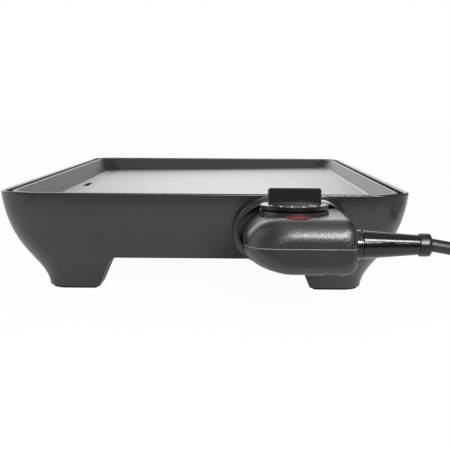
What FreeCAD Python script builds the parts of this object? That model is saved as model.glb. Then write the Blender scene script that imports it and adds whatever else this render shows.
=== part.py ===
import FreeCAD, Part
import math
import os

from FreeCAD import Vector

# Electric table grill: a moulded housing on four legs, a cast plate with a drain gutter,
# a plug-in heat control with its dial and probe, and a drip tray that slides out to the left.
# Millimetres. X is to the right, Y to the back, Z up, and Z = 0 is the table.
# The origin is on the table, in the middle of the length that housing and control take together.

# Housing
body_width = 300.0
body_length = 500.0
leg_height = 25.5
housing_depth = 49.5
housing_wall = 3.0
housing_floor = 3.0
rim_corner_radius = 26.5
foot_corner_radius = 15.0
rim_rounding = 1.2

# Side of the housing: one curve from the rim down and in to the foot
foot_inset = 31.9
foot_draft = 1.9
foot_pull = 23.4
rim_draft = 5.3
rim_pull = 48.4

# Legs and their rubber pads
leg_width = 70.5
leg_length = 60.0
leg_slope = 10.0
leg_shoulder_radius = 7.0
pad_height = 1.6
pad_margin = 2.2
pad_corner_radius = 3.0

# Griddle plate
plate_gap = 4.5
plate_drop = 0.6
basin_corner_radius = 20.0
basin_fillet = 3.5
plate_lip = 3.0
plate_lip_thickness = 3.2
plate_lip_rounding = 0.8
plate_corner_radius = 22.0
plate_wall = 3.2
plate_wall_lean = 0.765
plate_thickness = 4.2
basin_depth_left = 12.4
basin_depth_right = 9.0
basin_width_right = 9.5
gutter_depth = 13.2
gutter_width = 24.0
gutter_shelf_lean = 1.49
gutter_shelf_depth = 8.5
gutter_corner_radius = 20.0
drain_slot_length = 38.0
drain_slot_width = 5.0
drain_slot_inset = 21.5
drain_spout_wall = 2.2
drain_spout_length = 6.0

# Fixing of the plate to the housing
post_radius = 6.0
post_hole_radius = 2.3
post_inset_x = 47.0
post_inset_y = 90.0
post_middle_y = 70.0
spacer_thickness = 1.6
spacer_radius = 7.0
boss_radius = 6.5
thread_radius = 2.0
thread_gap = 0.05
thread_depth = 9.0
screw_head_radius = 4.2
screw_head_height = 2.4
screw_head_gap = 0.4
screw_head_bevel = 0.9
screw_slot_width = 1.0
screw_slot_depth = 1.3
screw_slot_share = 0.6
screw_sink = 1.2
screw_end_gap = 1.0

# Heating element and its terminals
element_radius = 3.5
element_drop = 25.0
element_rib_width = 13.0
element_rib_drop = 4.2
element_seat_gap = 0.1
element_inset = 57.5
element_front_gap = 64.0
element_back_gap = 70.0
element_bend_radius = 26.0
terminal_spacing = 38.0
pin_radius = 2.5
pin_length = 22.0
pin_bevel = 1.2
pin_gap = 0.05
insulator_radius = 5.2
insulator_flange_radius = 6.4
insulator_flange = 1.6
clamp_width = 10.0
clamp_thickness = 0.9

# Heat reflector
reflector_drop = 6.0
reflector_sheet = 0.8
reflector_flange = 5.0
reflector_margin_side = 37.0
reflector_margin_end = 38.0
reflector_corner_radius = 14.0
bead_width = 12.0
bead_depth = 1.6
bead_length = 130.0
bead_start = 30.0
bead_pitch = 45.0
reflector_notch_margin = 10.0

# Socket hood and terminal guard
socket_inset = 88.0
hood_margin_left = 7.1
hood_margin_right = 2.1
hood_below_rim = 0.8
hood_end_length = 31.5
hood_corner_radius = 21.0
hood_stand_out = 8.0
hood_wall = 4.1
hood_wall_right = 1.6
hood_bore_corner_radius = 17.4
hood_rounding = 3.8
hood_foot = 5.6
hood_bore_margin = 2.0
guard_setback = 2.0
guard_flange = 2.0
guard_wall = 1.8
guard_depth = 28.0
guard_back = 3.0
guard_gap = 0.3
guard_screw_reach = 2.0
guard_mouth_width = 62.0
guard_mouth_height = 15.6
guard_pad_gap = 0.2
guard_lug = 9.0
guard_lug_thickness = 3.0

# Drip tray, its rails and its opening in the left wall
tray_width = 118.0
tray_depth = 88.0
tray_wall = 1.6
tray_under_gap = 0.3
tray_over_gap = 3.0
tray_opening_gap = 0.8
tray_side_gap = 0.6
rail_wall = 2.0
rail_foot = 10.0
rail_hook = 2.6
rail_length = 84.0
rail_start = 30.0
rail_screw_radius = 1.5
rail_screw_head = 2.8
rail_screw_head_height = 1.6
rail_screw_skin = 0.5
rail_screw_shares = (0.15, 0.85)
pull_width = 52.0
pull_reach = 5.0
pull_thickness = 3.0

# Vents in the housing's floor
vent_count = 7
vent_pitch = 16.0
vent_width = 5.0
vent_length = 56.0
vent_inset = 120.0

# Heat control
control_reach = 85.0
control_left_reach = 34.1
control_right_reach = 37.4
control_height = 35.3
control_above_element = 16.3
control_seam_drop = 17.9
control_seam_gap = 0.3
control_wall = 2.2
control_seat_gap = 1.0
control_end_ratio = 1.47
control_corner_radius = 7.5
nose_left_radius = 22.0
nose_right_radius = 5.0
nose_top_radius = 14.0
nose_bottom_radius = 6.0
notch_width = 9.0
notch_length = 6.0
notch_depth = 0.9
notch_inset = 11.5
case_post_radius = 4.0
case_screw_radius = 1.4
case_screw_head = 2.6
case_screw_sink = 1.0
case_screw_reach = 8.0
case_screw_way = 0.3
case_screw_left_inset = 12.0
case_screw_left_setback = 19.0
case_screw_right_inset = 8.0
case_screw_right_setback = 13.0
case_screw_nose_inset = 18.0
case_screw_nose_setback = 17.0
block_width = 58.0
block_height = 12.6
block_length = 33.5
block_rounding = 1.0
block_flange = 2.4
block_flange_margin = 2.0
block_gap = 0.15

# Probe and contacts
probe_radius = 3.2
probe_length = 78.0
probe_root = 4.0
probe_bevel = 1.6
probe_gap = 0.25
probe_sleeve_wall = 0.8
probe_sleeve_end = 4.0
contact_wall = 0.7
contact_gap = 0.1
contact_depth = 22.0
contact_end = 1.2
contact_setback = 0.5
contact_tail_radius = 1.4
contact_tail = 5.0

# Thermostat inside the control
frame_width = 26.0
frame_sheet = 1.2
frame_length = 40.0
frame_drop = 7.0
frame_rise = 5.3
frame_probe_gap = 0.3
stack_radius = 3.0
leaf_width = 7.0
leaf_sheet = 0.5
leaf_length = 13.0
leaf_spacing = 2.6
leaf_clearance = 0.6
leaf_gap = 0.05
stack_margin = 1.5
follower_radius = 1.2
follower_gap = 0.3
contact_height = 0.8
cam_radius = 9.0
cam_offset = 2.0
cam_thickness = 4.0
cam_lift = 2.0

# Dial
dial_behind_front = 48.0
dial_radius = 23.0
dial_edge = 3.0
dial_dome = 2.2
dial_lift = 2.3
dial_bottom_bevel = 0.5
dial_top_bevel = 0.4
dial_shoulder_share = 0.55
dial_shoulder_rise = 0.72
dial_ring_radius = 23.2
dial_ring_width = 4.4
dial_ring_height = 1.5
dial_ring_root = 6.0
grip_length = 35.5
grip_thickness = 8.0
grip_height = 9.0
grip_corner_radius = 2.0
grip_bevel = 0.8
hub_radius = 6.0
hub_gap = 0.05
hub_drop = 6.0
shaft_radius = 3.0
shaft_gap = 0.05
shaft_foot = 4.0
shaft_top_cover = 3.0
shaft_top_gap = 0.3

# Pilot light
lens_behind_front = 16.0
lens_offset = 0.8
lens_half_width = 9.7
lens_half_length = 6.0
lens_proud = 0.4
lens_gap = 0.1
lamp_radius = 3.0
lamp_length = 16.0
lamp_bevel = 1.6
lamp_drop = 10.0
lamp_seat_gap = 0.2
lamp_post_radius = 3.0

# Strain relief
exit_behind_front = 22.0
relief_seat_gap = 0.1
relief_collar_radius = 9.6
relief_collar_length = 4.1
relief_groove_length = 0.8
relief_groove_radius = 8.2
relief_root_radius = 9.35
relief_tip_radius = 6.4
relief_cone_length = 36.5
relief_bead_radius = 7.5
relief_bead_length = 7.7
relief_edge_rounding = 0.5
relief_bead_rounding = 2.2
relief_neck_radius = 7.6
relief_neck_gap = 0.1
relief_anchor_radius = 10.0
relief_anchor_length = 2.5

# Cord and plug
cord_radius = 4.25
cord_rest_gap = 0.1
coil_turn_gap = 0.6
coil_middle_radius = 50.5
coil_turns_in = 1.75
coil_turns_out = 1.5
plug_width = 27.0
plug_thickness = 26.0
plug_body_length = 30.0
plug_tail_length = 26.0
plug_tail_radius = 5.8
plug_tail_swell = 0.35
plug_shoulder_place = 0.7
plug_shoulder_share = 0.73
plug_corner_radius = 7.0
plug_rounding = 1.5
blade_length = 16.0
blade_width = 6.3
blade_thickness = 1.5
blade_corner_radius = 1.2
blade_spacing = 12.7
blade_drop = 4.0
ground_radius = 2.4
ground_length = 19.0
ground_bevel = 1.2
ground_rise = 7.9

# The short straight left at a round slot's end, so that its two arcs don't meet
slot_end_flat = 0.1

# Where lofts are cut: levels of the housing's side, and shares of the control's nose
skirt_levels = 10
nose_shares = (1, 0.8, 0.62, 0.45, 0.3, 0.18, 0.09, 0.03, 0)

# A bend of the cord's route takes this share of the shorter run beside it
bend_share = 0.45

# Points on the coil's middle line where its least gap is measured
coil_samples = 600

# Places worked out from the sizes above
rim_height = leg_height + housing_depth
plate_top = rim_height - plate_drop
floor_top = leg_height + housing_floor
body_centre_y = control_reach / 2
body_front_y = body_centre_y - body_length / 2
leg_gap_half_x = body_width / 2 - leg_width
leg_gap_half_y = body_length / 2 - leg_length
plate_half_width = body_width / 2 - housing_wall - plate_gap
plate_half_length = body_length / 2 - housing_wall - plate_gap
gutter_edge_x = -(plate_half_width - plate_lip - gutter_width)
basin_right_x = plate_half_width - basin_width_right
drain_x = -(plate_half_width - drain_slot_inset)
socket_x = body_width / 2 - socket_inset
element_z = rim_height - element_drop
element_front_y = body_front_y + guard_setback + guard_depth
element_rib_z = element_z - element_rib_drop
reflector_z = element_z - reflector_drop
boss_bottom_z = reflector_z + reflector_sheet + spacer_thickness
screw_seat_z = leg_height + screw_sink + screw_head_height
tray_bottom_z = floor_top + tray_under_gap
tray_top_z = reflector_z - tray_over_gap
hood_front_y = body_front_y - hood_stand_out
control_front_y = body_front_y - control_reach
control_back_y = hood_front_y - control_seat_gap
control_left_x = socket_x - control_left_reach
control_right_x = socket_x + control_right_reach
control_top = element_z + control_above_element
control_bottom = control_top - control_height
control_seam = control_top - control_seam_drop
hood_top = rim_height - hood_below_rim
hood_bore_bottom = control_bottom - hood_bore_margin
guard_back_y = body_front_y + guard_setback + guard_depth
block_front_y = control_back_y - control_wall - block_flange
block_back_y = control_back_y + block_length
probe_tip_y = block_back_y + probe_length
sleeve_end_y = probe_tip_y + probe_sleeve_end
dial_y = control_front_y + dial_behind_front
dial_bottom = control_top + dial_lift
dial_top = dial_bottom + dial_edge + dial_dome
frame_z = element_z - frame_drop
cam_z = frame_z + frame_sheet + cam_lift
leaf_z = element_z + probe_radius + leaf_clearance
lens_x = socket_x + lens_offset
lens_y = control_front_y + lens_behind_front
lamp_z = control_top - lamp_drop
cord_exit_y = control_front_y + exit_behind_front
relief_x = control_right_x + relief_seat_gap
relief_groove_x = relief_x + relief_collar_length
relief_cone_x = relief_groove_x + relief_groove_length
relief_bead_x = relief_cone_x + relief_cone_length
cord_exit_x = relief_bead_x + relief_bead_length
cord_diameter = 2 * cord_radius
cord_floor_z = cord_radius + cord_rest_gap
coil_pitch = cord_diameter + coil_turn_gap
coil_top_z = cord_floor_z + coil_pitch
coil_outer_radius = coil_middle_radius + coil_turns_in * coil_pitch / 2
plug_z = plug_thickness / 2 + cord_rest_gap


# Planes for flat outlines

def on_level(z):
    return lambda u, v: Vector(u, v, z)


def facing_front(y):
    return lambda u, v: Vector(u, y, v)


def facing_side(x):
    return lambda u, v: Vector(x, u, v)


# Outlines

def corner_stops(points, radii, i):
    """Where the rounding of corner i starts, its middle and its end."""
    here = Vector(points[i][0], points[i][1], 0)
    if radii[i] <= 0:
        return here, None, here
    before = Vector(points[i - 1][0], points[i - 1][1], 0) - here
    following = points[(i + 1) % len(points)]
    after = Vector(following[0], following[1], 0) - here
    before.normalize()
    after.normalize()
    half = before.getAngle(after) / 2
    trim = radii[i] / math.tan(half)
    inward = (before + after).normalize()
    middle = here + inward * (radii[i] / math.sin(half) - radii[i])
    return here + before * trim, middle, here + after * trim


def rounded_outline(points, radii, place):
    """A closed wire through flat points, each corner rounded by its radius."""
    stops = [corner_stops(points, radii, i) for i in range(len(points))]
    edges = []
    for i, (start, middle, end) in enumerate(stops):
        if middle is not None:
            arc = Part.Arc(place(start.x, start.y), place(middle.x, middle.y), place(end.x, end.y))
            edges.append(arc.toShape())
        following = stops[(i + 1) % len(stops)][0]
        if following.distanceToPoint(end) > 1e-6:
            edges.append(Part.makeLine(place(end.x, end.y), place(following.x, following.y)))
    return Part.Wire(edges)


def rectangle_points(left, right, low, high):
    return [(left, low), (right, low), (right, high), (left, high)]


def rounded_rectangle(left, right, low, high, radius, place):
    return rounded_outline(rectangle_points(left, right, low, high), [radius] * 4, place)


def body_rectangle(half_x, half_y, radius, z):
    """A level rounded rectangle about the housing's middle."""
    return rounded_rectangle(
        -half_x, half_x, body_centre_y - half_y, body_centre_y + half_y, radius, on_level(z)
    )


def quarter_ellipse(centre_u, centre_v, half_u, half_v, start, place):
    """A quarter of an ellipse on a plane, from the angle start, in degrees."""
    centre = place(centre_u, centre_v)
    if half_u >= half_v:
        ellipse = Part.Ellipse(place(centre_u + half_u, centre_v), place(centre_u, centre_v + half_v), centre)
        first = math.radians(start)
    else:
        ellipse = Part.Ellipse(place(centre_u, centre_v + half_v), place(centre_u - half_u, centre_v), centre)
        first = math.radians(start - 90)
    return Part.Arc(ellipse, first, first + math.pi / 2).toShape()


def oval_ended(left, right, low, high, end_length, place):
    """A flat-topped outline whose two ends are half ellipses."""
    middle = (low + high) / 2
    half = (high - low) / 2
    return Part.Wire([
        Part.makeLine(place(left + end_length, low), place(right - end_length, low)),
        quarter_ellipse(right - end_length, middle, end_length, half, -90, place),
        quarter_ellipse(right - end_length, middle, end_length, half, 0, place),
        Part.makeLine(place(right - end_length, high), place(left + end_length, high)),
        quarter_ellipse(left + end_length, middle, end_length, half, 90, place),
        quarter_ellipse(left + end_length, middle, end_length, half, 180, place),
    ])


def bulb_outline(left, right, low, high, end_length, corner, place):
    """An outline whose left end is half an ellipse and whose right corners are rounded."""
    middle = (low + high) / 2
    half = (high - low) / 2
    diagonal = corner * (1 - math.sqrt(0.5))
    return Part.Wire([
        Part.makeLine(place(left + end_length, low), place(right - corner, low)),
        Part.Arc(
            place(right - corner, low), place(right - diagonal, low + diagonal), place(right, low + corner)
        ).toShape(),
        Part.makeLine(place(right, low + corner), place(right, high - corner)),
        Part.Arc(
            place(right, high - corner), place(right - diagonal, high - diagonal), place(right - corner, high)
        ).toShape(),
        Part.makeLine(place(right - corner, high), place(left + end_length, high)),
        quarter_ellipse(left + end_length, middle, end_length, half, 90, place),
        quarter_ellipse(left + end_length, middle, end_length, half, 180, place),
    ])


# Solids

def raised(wire, along):
    return Part.Face(wire).extrude(along)


def block(left, right, front, back, low, high):
    return Part.makeBox(right - left, back - front, high - low, Vector(left, front, low))


def upright(radius, low, high, x, y):
    return Part.makeCylinder(radius, high - low, Vector(x, y, low), Vector(0, 0, 1))


def backward(radius, front, back, x, z):
    return Part.makeCylinder(radius, back - front, Vector(x, front, z), Vector(0, 1, 0))


def tube_upright(outer, inner, low, high, x, y):
    return upright(outer, low, high, x, y).cut(upright(inner, low - 1, high + 1, x, y))


def swept(profile, path):
    return path.makePipeShell([profile], True, False)


def group(solids):
    return Part.makeCompound(solids)


def edges_where(shape, test):
    """The edges of a shape whose every vertex passes the test."""
    return [e for e in shape.Edges if all(test(v.Point) for v in e.Vertexes)]


def pan_screw(shank_radius, head_radius, head_height, seat_z, tip_z, x, y):
    """A screw put in from below, its head under seat_z, with a crossed slot."""
    low = seat_z - head_height
    head = upright(head_radius, low, seat_z, x, y)
    head = head.makeChamfer(screw_head_bevel, edges_where(head, lambda p: p.z < seat_z - head_height / 2))
    slot = head_radius * screw_slot_share
    half = screw_slot_width / 2
    across = block(x - slot, x + slot, y - half, y + half, low - 1, low + screw_slot_depth)
    along = block(x - half, x + half, y - slot, y + slot, low - 1, low + screw_slot_depth)
    shank = upright(shank_radius, seat_z, tip_z, x, y)
    return head.cut([across, along]).fuse(shank)


# Housing

def skirt_curve(t):
    """The side's curve: (inset from the rim, height), t from 0 at the rim to 1 at the foot."""
    corners = [
        (0.0, rim_height),
        (rim_draft, rim_height - rim_pull),
        (foot_inset - foot_draft, foot_pull),
        (foot_inset, 0.0),
    ]
    weights = [(1 - t) ** 3, 3 * t * (1 - t) ** 2, 3 * t * t * (1 - t), t ** 3]
    inset = sum(w * c[0] for w, c in zip(weights, corners))
    height = sum(w * c[1] for w, c in zip(weights, corners))
    return inset, height


def skirt_inset(height):
    """How far the outside lies in from the rim at a height."""
    low = 0.0
    high = 1.0
    for _ in range(40):
        middle = (low + high) / 2
        if skirt_curve(middle)[1] > height:
            low = middle
        else:
            high = middle
    return skirt_curve(low)[0]


def wall_sideways(height, wall):
    """The level width of a wall whose thickness is measured square to the side."""
    step = 0.5
    slope = (skirt_inset(height - step) - skirt_inset(height + step)) / (2 * step)
    return wall * math.sqrt(1 + slope ** 2)


def skirt_section(height, wall):
    inset = skirt_inset(height) + wall_sideways(height, wall)
    share = inset / foot_inset
    radius = rim_corner_radius + (foot_corner_radius - rim_corner_radius) * share - wall
    return body_rectangle(body_width / 2 - inset, body_length / 2 - inset, radius, height)


def skirt_loft(wall, low, high):
    """The housing's form from low to high, or its inside where a wall is given."""
    heights = [low + (high - low) * i / (skirt_levels - 1) for i in range(skirt_levels)]
    return Part.makeLoft([skirt_section(h, wall) for h in heights], True, False)


def leg_gap_outline(foot_half, wall, centre, place):
    """The gap between two legs, seen square to it; a wall makes it larger all round."""
    top = leg_height + wall
    top_half = foot_half - leg_slope
    points = [
        (centre - foot_half - wall, pad_height - 1),
        (centre + foot_half + wall, pad_height - 1),
        (centre + top_half + wall, top),
        (centre - top_half - wall, top),
    ]
    return rounded_outline(points, [0, 0, leg_shoulder_radius, leg_shoulder_radius], place)


def leg_gaps(wall):
    """Two crossed prisms that leave the four legs standing."""
    beyond = 10.0
    front = body_front_y - beyond
    left = -body_width / 2 - beyond
    lengthwise = raised(
        leg_gap_outline(leg_gap_half_x, wall, 0, facing_front(front)),
        Vector(0, body_length + 2 * beyond, 0),
    )
    crosswise = raised(
        leg_gap_outline(leg_gap_half_y, wall, body_centre_y, facing_side(left)),
        Vector(body_width + 2 * beyond, 0, 0),
    )
    return lengthwise.fuse(crosswise)


def hood_outline(y):
    return bulb_outline(
        control_left_x - hood_margin_left,
        control_right_x + hood_margin_right,
        hood_bore_bottom - hood_foot,
        hood_top,
        hood_end_length,
        hood_corner_radius,
        facing_front(y),
    )


def hood_bore_outline(margin, y):
    """The hood's bore, or that much less all round; its wall is thinner on the right."""
    return bulb_outline(
        control_left_x - hood_margin_left + hood_wall + margin,
        control_right_x + hood_margin_right - hood_wall_right - margin,
        hood_bore_bottom + margin,
        hood_top - hood_wall - margin,
        hood_end_length - hood_wall - margin,
        hood_bore_corner_radius - margin,
        facing_front(y),
    )


def hood_shell(cavity):
    """The rounded hood that stands out from the front wall round the socket."""
    back = body_front_y + skirt_inset(leg_height) + housing_wall
    hood = raised(hood_outline(hood_front_y), Vector(0, back - hood_front_y, 0))
    hood = hood.makeFillet(hood_rounding, edges_where(hood, lambda p: abs(p.y - hood_front_y) < 1e-6))
    below = block(-body_width, body_width, hood_front_y - 1, back + 1, 0, leg_height)
    return hood.cut([below, cavity])


def hood_bore():
    front = hood_front_y - 1
    back = body_front_y + skirt_inset(leg_height) + 2 * housing_wall
    return raised(hood_bore_outline(0, front), Vector(0, back - front, 0))


def post_places():
    across = body_width / 2 - post_inset_x
    along = body_length / 2 - post_inset_y
    corners = [(x, body_centre_y + y) for x in (-across, across) for y in (-along, along)]
    middles = [(0, body_centre_y - post_middle_y), (0, body_centre_y + post_middle_y)]
    return corners + middles


def tray_box(gap, right):
    """The space of the drip tray through the left wall, with a gap round it."""
    half = tray_width / 2 + gap
    left = -body_width / 2 - pull_reach
    return block(
        left, right, body_centre_y - half, body_centre_y + half, tray_bottom_z - gap, tray_top_z + gap
    )


def vent_slots():
    slots = []
    for row in (-1, 1):
        y = body_centre_y + row * (body_length / 2 - vent_inset)
        for i in range(vent_count):
            x = (i - (vent_count - 1) / 2) * vent_pitch
            outline = rounded_rectangle(
                x - vent_width / 2, x + vent_width / 2, y - vent_length / 2, y + vent_length / 2,
                vent_width / 2 - slot_end_flat, on_level(leg_height - 1),
            )
            slots.append(raised(outline, Vector(0, 0, housing_floor + 2)))
    return slots


def rail_places():
    """The rail screws: (x, y) on both rails' feet."""
    start = -body_width / 2 + rail_start
    reach = tray_width / 2 + tray_side_gap + rail_wall + rail_foot / 2
    return [
        (start + rail_length * share, body_centre_y + side * reach)
        for side in (-1, 1)
        for share in rail_screw_shares
    ]


def housing_cavity(inner):
    """The hollow of the housing, which runs down into the legs."""
    return inner.cut(leg_gaps(housing_floor))


def housing(outer, cavity):
    shell = outer.cut(leg_gaps(0)).cut(cavity)
    rim = edges_where(shell, lambda p: abs(p.z - rim_height) < 1e-6)
    shell = shell.makeFillet(rim_rounding, rim)
    shell = shell.fuse(hood_shell(cavity)).cut(hood_bore())
    posts = [upright(post_radius, leg_height, reflector_z, x, y) for x, y in post_places()]
    shell = shell.multiFuse(posts)
    cuts = [tray_box(tray_opening_gap, -body_width / 4)] + vent_slots()
    for x, y in post_places():
        cuts.append(upright(post_hole_radius, leg_height - 1, reflector_z + 1, x, y))
        cuts.append(upright(screw_head_radius + screw_head_gap, leg_height - 1, screw_seat_z, x, y))
    pilot_radius = rail_screw_radius + thread_gap
    for x, y in rail_places():
        cuts.append(upright(pilot_radius, leg_height + rail_screw_skin, floor_top + 1, x, y))
    return shell.cut(cuts).removeSplitter()


def foot_pads():
    half_x = body_width / 2 - skirt_inset(pad_height) - pad_margin
    half_y = body_length / 2 - skirt_inset(pad_height) - pad_margin
    inner_x = leg_gap_half_x + pad_margin
    inner_y = leg_gap_half_y + pad_margin
    outer_radius = foot_corner_radius - pad_margin
    pads = []
    for sx in (-1, 1):
        for sy in (-1, 1):
            points = [
                (sx * inner_x, body_centre_y + sy * inner_y),
                (sx * half_x, body_centre_y + sy * inner_y),
                (sx * half_x, body_centre_y + sy * half_y),
                (sx * inner_x, body_centre_y + sy * half_y),
            ]
            radii = [pad_corner_radius, pad_corner_radius, outer_radius, pad_corner_radius]
            pads.append(raised(rounded_outline(points, radii, on_level(0)), Vector(0, 0, pad_height)))
    return group(pads)


# Griddle plate

def basin_floor_z(x):
    """The cooking floor falls steadily to the gutter on the left."""
    share = (x - gutter_edge_x) / (basin_right_x - gutter_edge_x)
    return plate_top - basin_depth_left + share * (basin_depth_left - basin_depth_right)


def above_floor(drop):
    """Everything over the sloping cooking floor, or over a plane that much below it."""
    reach = body_width
    points = [
        (-reach, basin_floor_z(-reach) - drop),
        (reach, basin_floor_z(reach) - drop),
        (reach, plate_top + reach),
        (-reach, plate_top + reach),
    ]
    front = body_front_y - reach
    return raised(
        rounded_outline(points, [0] * 4, facing_front(front)), Vector(0, body_length + 2 * reach, 0)
    )


def plate_section(inset, radius, z):
    return body_rectangle(plate_half_width - inset, plate_half_length - inset, radius, z)


def plate_funnel(wall, top, bottom):
    """The basin's leaning walls, or their outside where a wall is given."""
    sections = []
    for z in (top, bottom):
        inset = plate_lip + plate_wall_lean * (plate_top - z) - wall
        sections.append(plate_section(inset, basin_corner_radius + wall, z))
    return Part.makeLoft(sections, True, True)


def basin_hollow(funnel):
    """The space over the cooking floor, rounded along the foot of the walls as far as the gutter."""
    split_x = gutter_edge_x + gutter_corner_radius
    space = funnel.common(above_floor(0))
    front = body_front_y - 1
    back = body_front_y + body_length + 1
    left = space.common(block(-body_width, split_x, front, back, 0, plate_top + 2))
    right = space.common(block(split_x, body_width, front, back, 0, plate_top + 2))
    foot = edges_where(right, lambda p: abs(p.z - basin_floor_z(p.x)) < 1e-4 and p.x > split_x - 1e-4)
    foot = [e for e in foot if not all(abs(v.Point.x - split_x) < 1e-4 for v in e.Vertexes)]
    return [left, right.makeFillet(basin_fillet, foot)]


def gutter_shelf():
    """The shelf between the left wall's foot and the bottom of the gutter."""
    foot_x = -(plate_half_width - plate_lip - plate_wall_lean * gutter_shelf_depth)
    foot_z = plate_top - gutter_shelf_depth
    bottom_z = plate_top - gutter_depth
    inner_x = foot_x + gutter_shelf_lean * (foot_z - bottom_z)
    points = [(-body_width, foot_z), (foot_x, foot_z), (inner_x, bottom_z), (-body_width, bottom_z)]
    outline = rounded_outline(points, [0] * 4, facing_front(body_front_y))
    return raised(outline, Vector(0, body_length, 0))


def gutter_hollow(funnel):
    """The gutter along the left wall, which turns round the floor's two left corners."""
    half = plate_half_length - plate_lip - plate_wall_lean * basin_depth_left
    bottom_z = plate_top - gutter_depth
    island = raised(
        rounded_rectangle(
            gutter_edge_x, body_width, body_centre_y - half, body_centre_y + half,
            gutter_corner_radius, on_level(0),
        ),
        Vector(0, 0, plate_top),
    )
    region = block(
        -body_width / 2, gutter_edge_x + gutter_corner_radius,
        body_front_y, body_front_y + body_length, bottom_z, plate_top + 1,
    )
    return funnel.common(region).cut([island, gutter_shelf()])


def drain_outline(margin, z):
    half_x = drain_slot_width / 2 + margin
    half_y = drain_slot_length / 2 + margin
    return rounded_rectangle(
        drain_x - half_x, drain_x + half_x, body_centre_y - half_y, body_centre_y + half_y,
        half_x - slot_end_flat, on_level(z),
    )


def element_path():
    left = -(plate_half_width - element_inset)
    near = socket_x - terminal_spacing / 2
    far = socket_x + terminal_spacing / 2
    turn_y = body_front_y + element_front_gap
    back_y = body_front_y + body_length - element_back_gap
    points = [
        (near, element_front_y), (near, turn_y), (left, turn_y),
        (left, back_y), (far, back_y), (far, element_front_y),
    ]
    radii = [0] + [element_bend_radius] * 4 + [0]
    closed = rounded_outline(points, radii, on_level(element_z))
    first = Vector(near, element_front_y, element_z)
    last = Vector(far, element_front_y, element_z)
    edges = [e for e in closed.Edges if not both_ends_in(e, [first, last])]
    return Part.Wire(edges)


def both_ends_in(edge, points):
    return all(any(v.Point.distanceToPoint(p) < 1e-6 for p in points) for v in edge.Vertexes)


def terminal_places():
    return [socket_x - terminal_spacing / 2, socket_x + terminal_spacing / 2]


def element_rib():
    """The cast ridge under the plate that the element lies in, open below."""
    x = terminal_places()[0]
    half = element_rib_width / 2
    outline = rounded_outline(
        rectangle_points(x - half, x + half, element_rib_z, plate_top),
        [0] * 4, facing_front(element_front_y),
    )
    return swept(outline, element_path())


def element_groove():
    x = terminal_places()[0]
    radius = element_radius + element_seat_gap
    place = facing_front(element_front_y)
    low = element_rib_z - 1
    outline = Part.Wire([
        Part.makeLine(place(x - radius, element_z), place(x - radius, low)),
        Part.makeLine(place(x - radius, low), place(x + radius, low)),
        Part.makeLine(place(x + radius, low), place(x + radius, element_z)),
        Part.Arc(
            place(x + radius, element_z), place(x, element_z + radius), place(x - radius, element_z)
        ).toShape(),
    ])
    return swept(outline, element_path())


def guard_lug_places():
    reach = guard_mouth_width / 2 + guard_wall + guard_lug / 2
    y = guard_back_y - guard_lug / 2
    return [(socket_x - reach, y), (socket_x + reach, y)]


def guard_top_z():
    return element_z + guard_mouth_height / 2 + guard_wall


def guard_pad():
    """The flat under the plate that the terminal guard is screwed to."""
    half = guard_mouth_width / 2 + guard_wall + guard_lug
    low = guard_top_z() + guard_pad_gap
    return block(
        socket_x - half, socket_x + half, guard_back_y - guard_lug, guard_back_y, low, plate_top
    )


def sleeve_boss():
    half = element_rib_width / 2
    return block(socket_x - half, socket_x + half, element_front_y, sleeve_end_y, element_rib_z, plate_top)


def sleeve_radius():
    return probe_radius + probe_gap + probe_sleeve_wall


def griddle_plate():
    lip_low = plate_top - plate_lip_thickness
    lip = raised(plate_section(0, plate_corner_radius, lip_low), Vector(0, 0, plate_lip_thickness))
    lip = lip.makeFillet(plate_lip_rounding, edges_where(lip, lambda p: abs(p.z - plate_top) < 1e-6))
    deep = plate_top - gutter_depth - 2 * plate_thickness
    bowl = plate_funnel(plate_wall, lip_low, deep).common(above_floor(plate_thickness))
    additions = [element_rib(), guard_pad(), sleeve_boss()]
    additions += [upright(boss_radius, boss_bottom_z, plate_top, x, y) for x, y in post_places()]
    spout_low = basin_floor_z(drain_x) - plate_thickness - drain_spout_length
    additions.append(raised(drain_outline(drain_spout_wall, spout_low), Vector(0, 0, plate_top - spout_low)))
    under = additions[0].multiFuse(additions[1:]).cut(above_floor(plate_thickness / 2))
    funnel = plate_funnel(0, plate_top + 1, deep)
    plate = lip.multiFuse([bowl, under])
    cuts = basin_hollow(funnel) + [gutter_hollow(funnel), element_groove()]
    cuts.append(raised(drain_outline(0, 0), Vector(0, 0, plate_top)))
    bore_radius = sleeve_radius() + pin_gap
    cuts.append(backward(bore_radius, element_front_y - 1, sleeve_end_y + 1, socket_x, element_z))
    for x, y in post_places():
        cuts.append(upright(thread_radius, boss_bottom_z - 1, boss_bottom_z + thread_depth, x, y))
    for x, y in guard_lug_places():
        cuts.append(upright(thread_radius, element_z, basin_floor_z(x) - plate_thickness / 2, x, y))
    return plate.cut(cuts).removeSplitter()


# Heating element, probe sleeve and reflector

def heating_element():
    x = terminal_places()[0]
    ring = Part.Circle(Vector(x, element_front_y, element_z), Vector(0, 1, 0), element_radius)
    return swept(Part.Wire(ring.toShape()), element_path())


def clamp_places():
    """The middles of the straps under the element: (x, y, the element runs along Y)."""
    left = -(plate_half_width - element_inset)
    right = terminal_places()[1]
    third = body_length / 6
    return [(x, body_centre_y + s * third) for x in (left, right) for s in (-1, 1)]


def element_clamps():
    """Flat straps staked under the rib, which keep the element in its groove."""
    half = element_rib_width / 2
    reach = clamp_width / 2
    low = element_rib_z - clamp_thickness
    return group([
        block(x - half, x + half, y - reach, y + reach, low, element_rib_z)
        for x, y in clamp_places()
    ])


def terminal_pins():
    pins = []
    for x in terminal_places():
        pin = backward(pin_radius, element_front_y - pin_length, element_front_y, x, element_z)
        tip = edges_where(pin, lambda p: p.y < element_front_y - pin_length / 2)
        pins.append(pin.makeChamfer(pin_bevel, tip))
    return group(pins)


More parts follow.
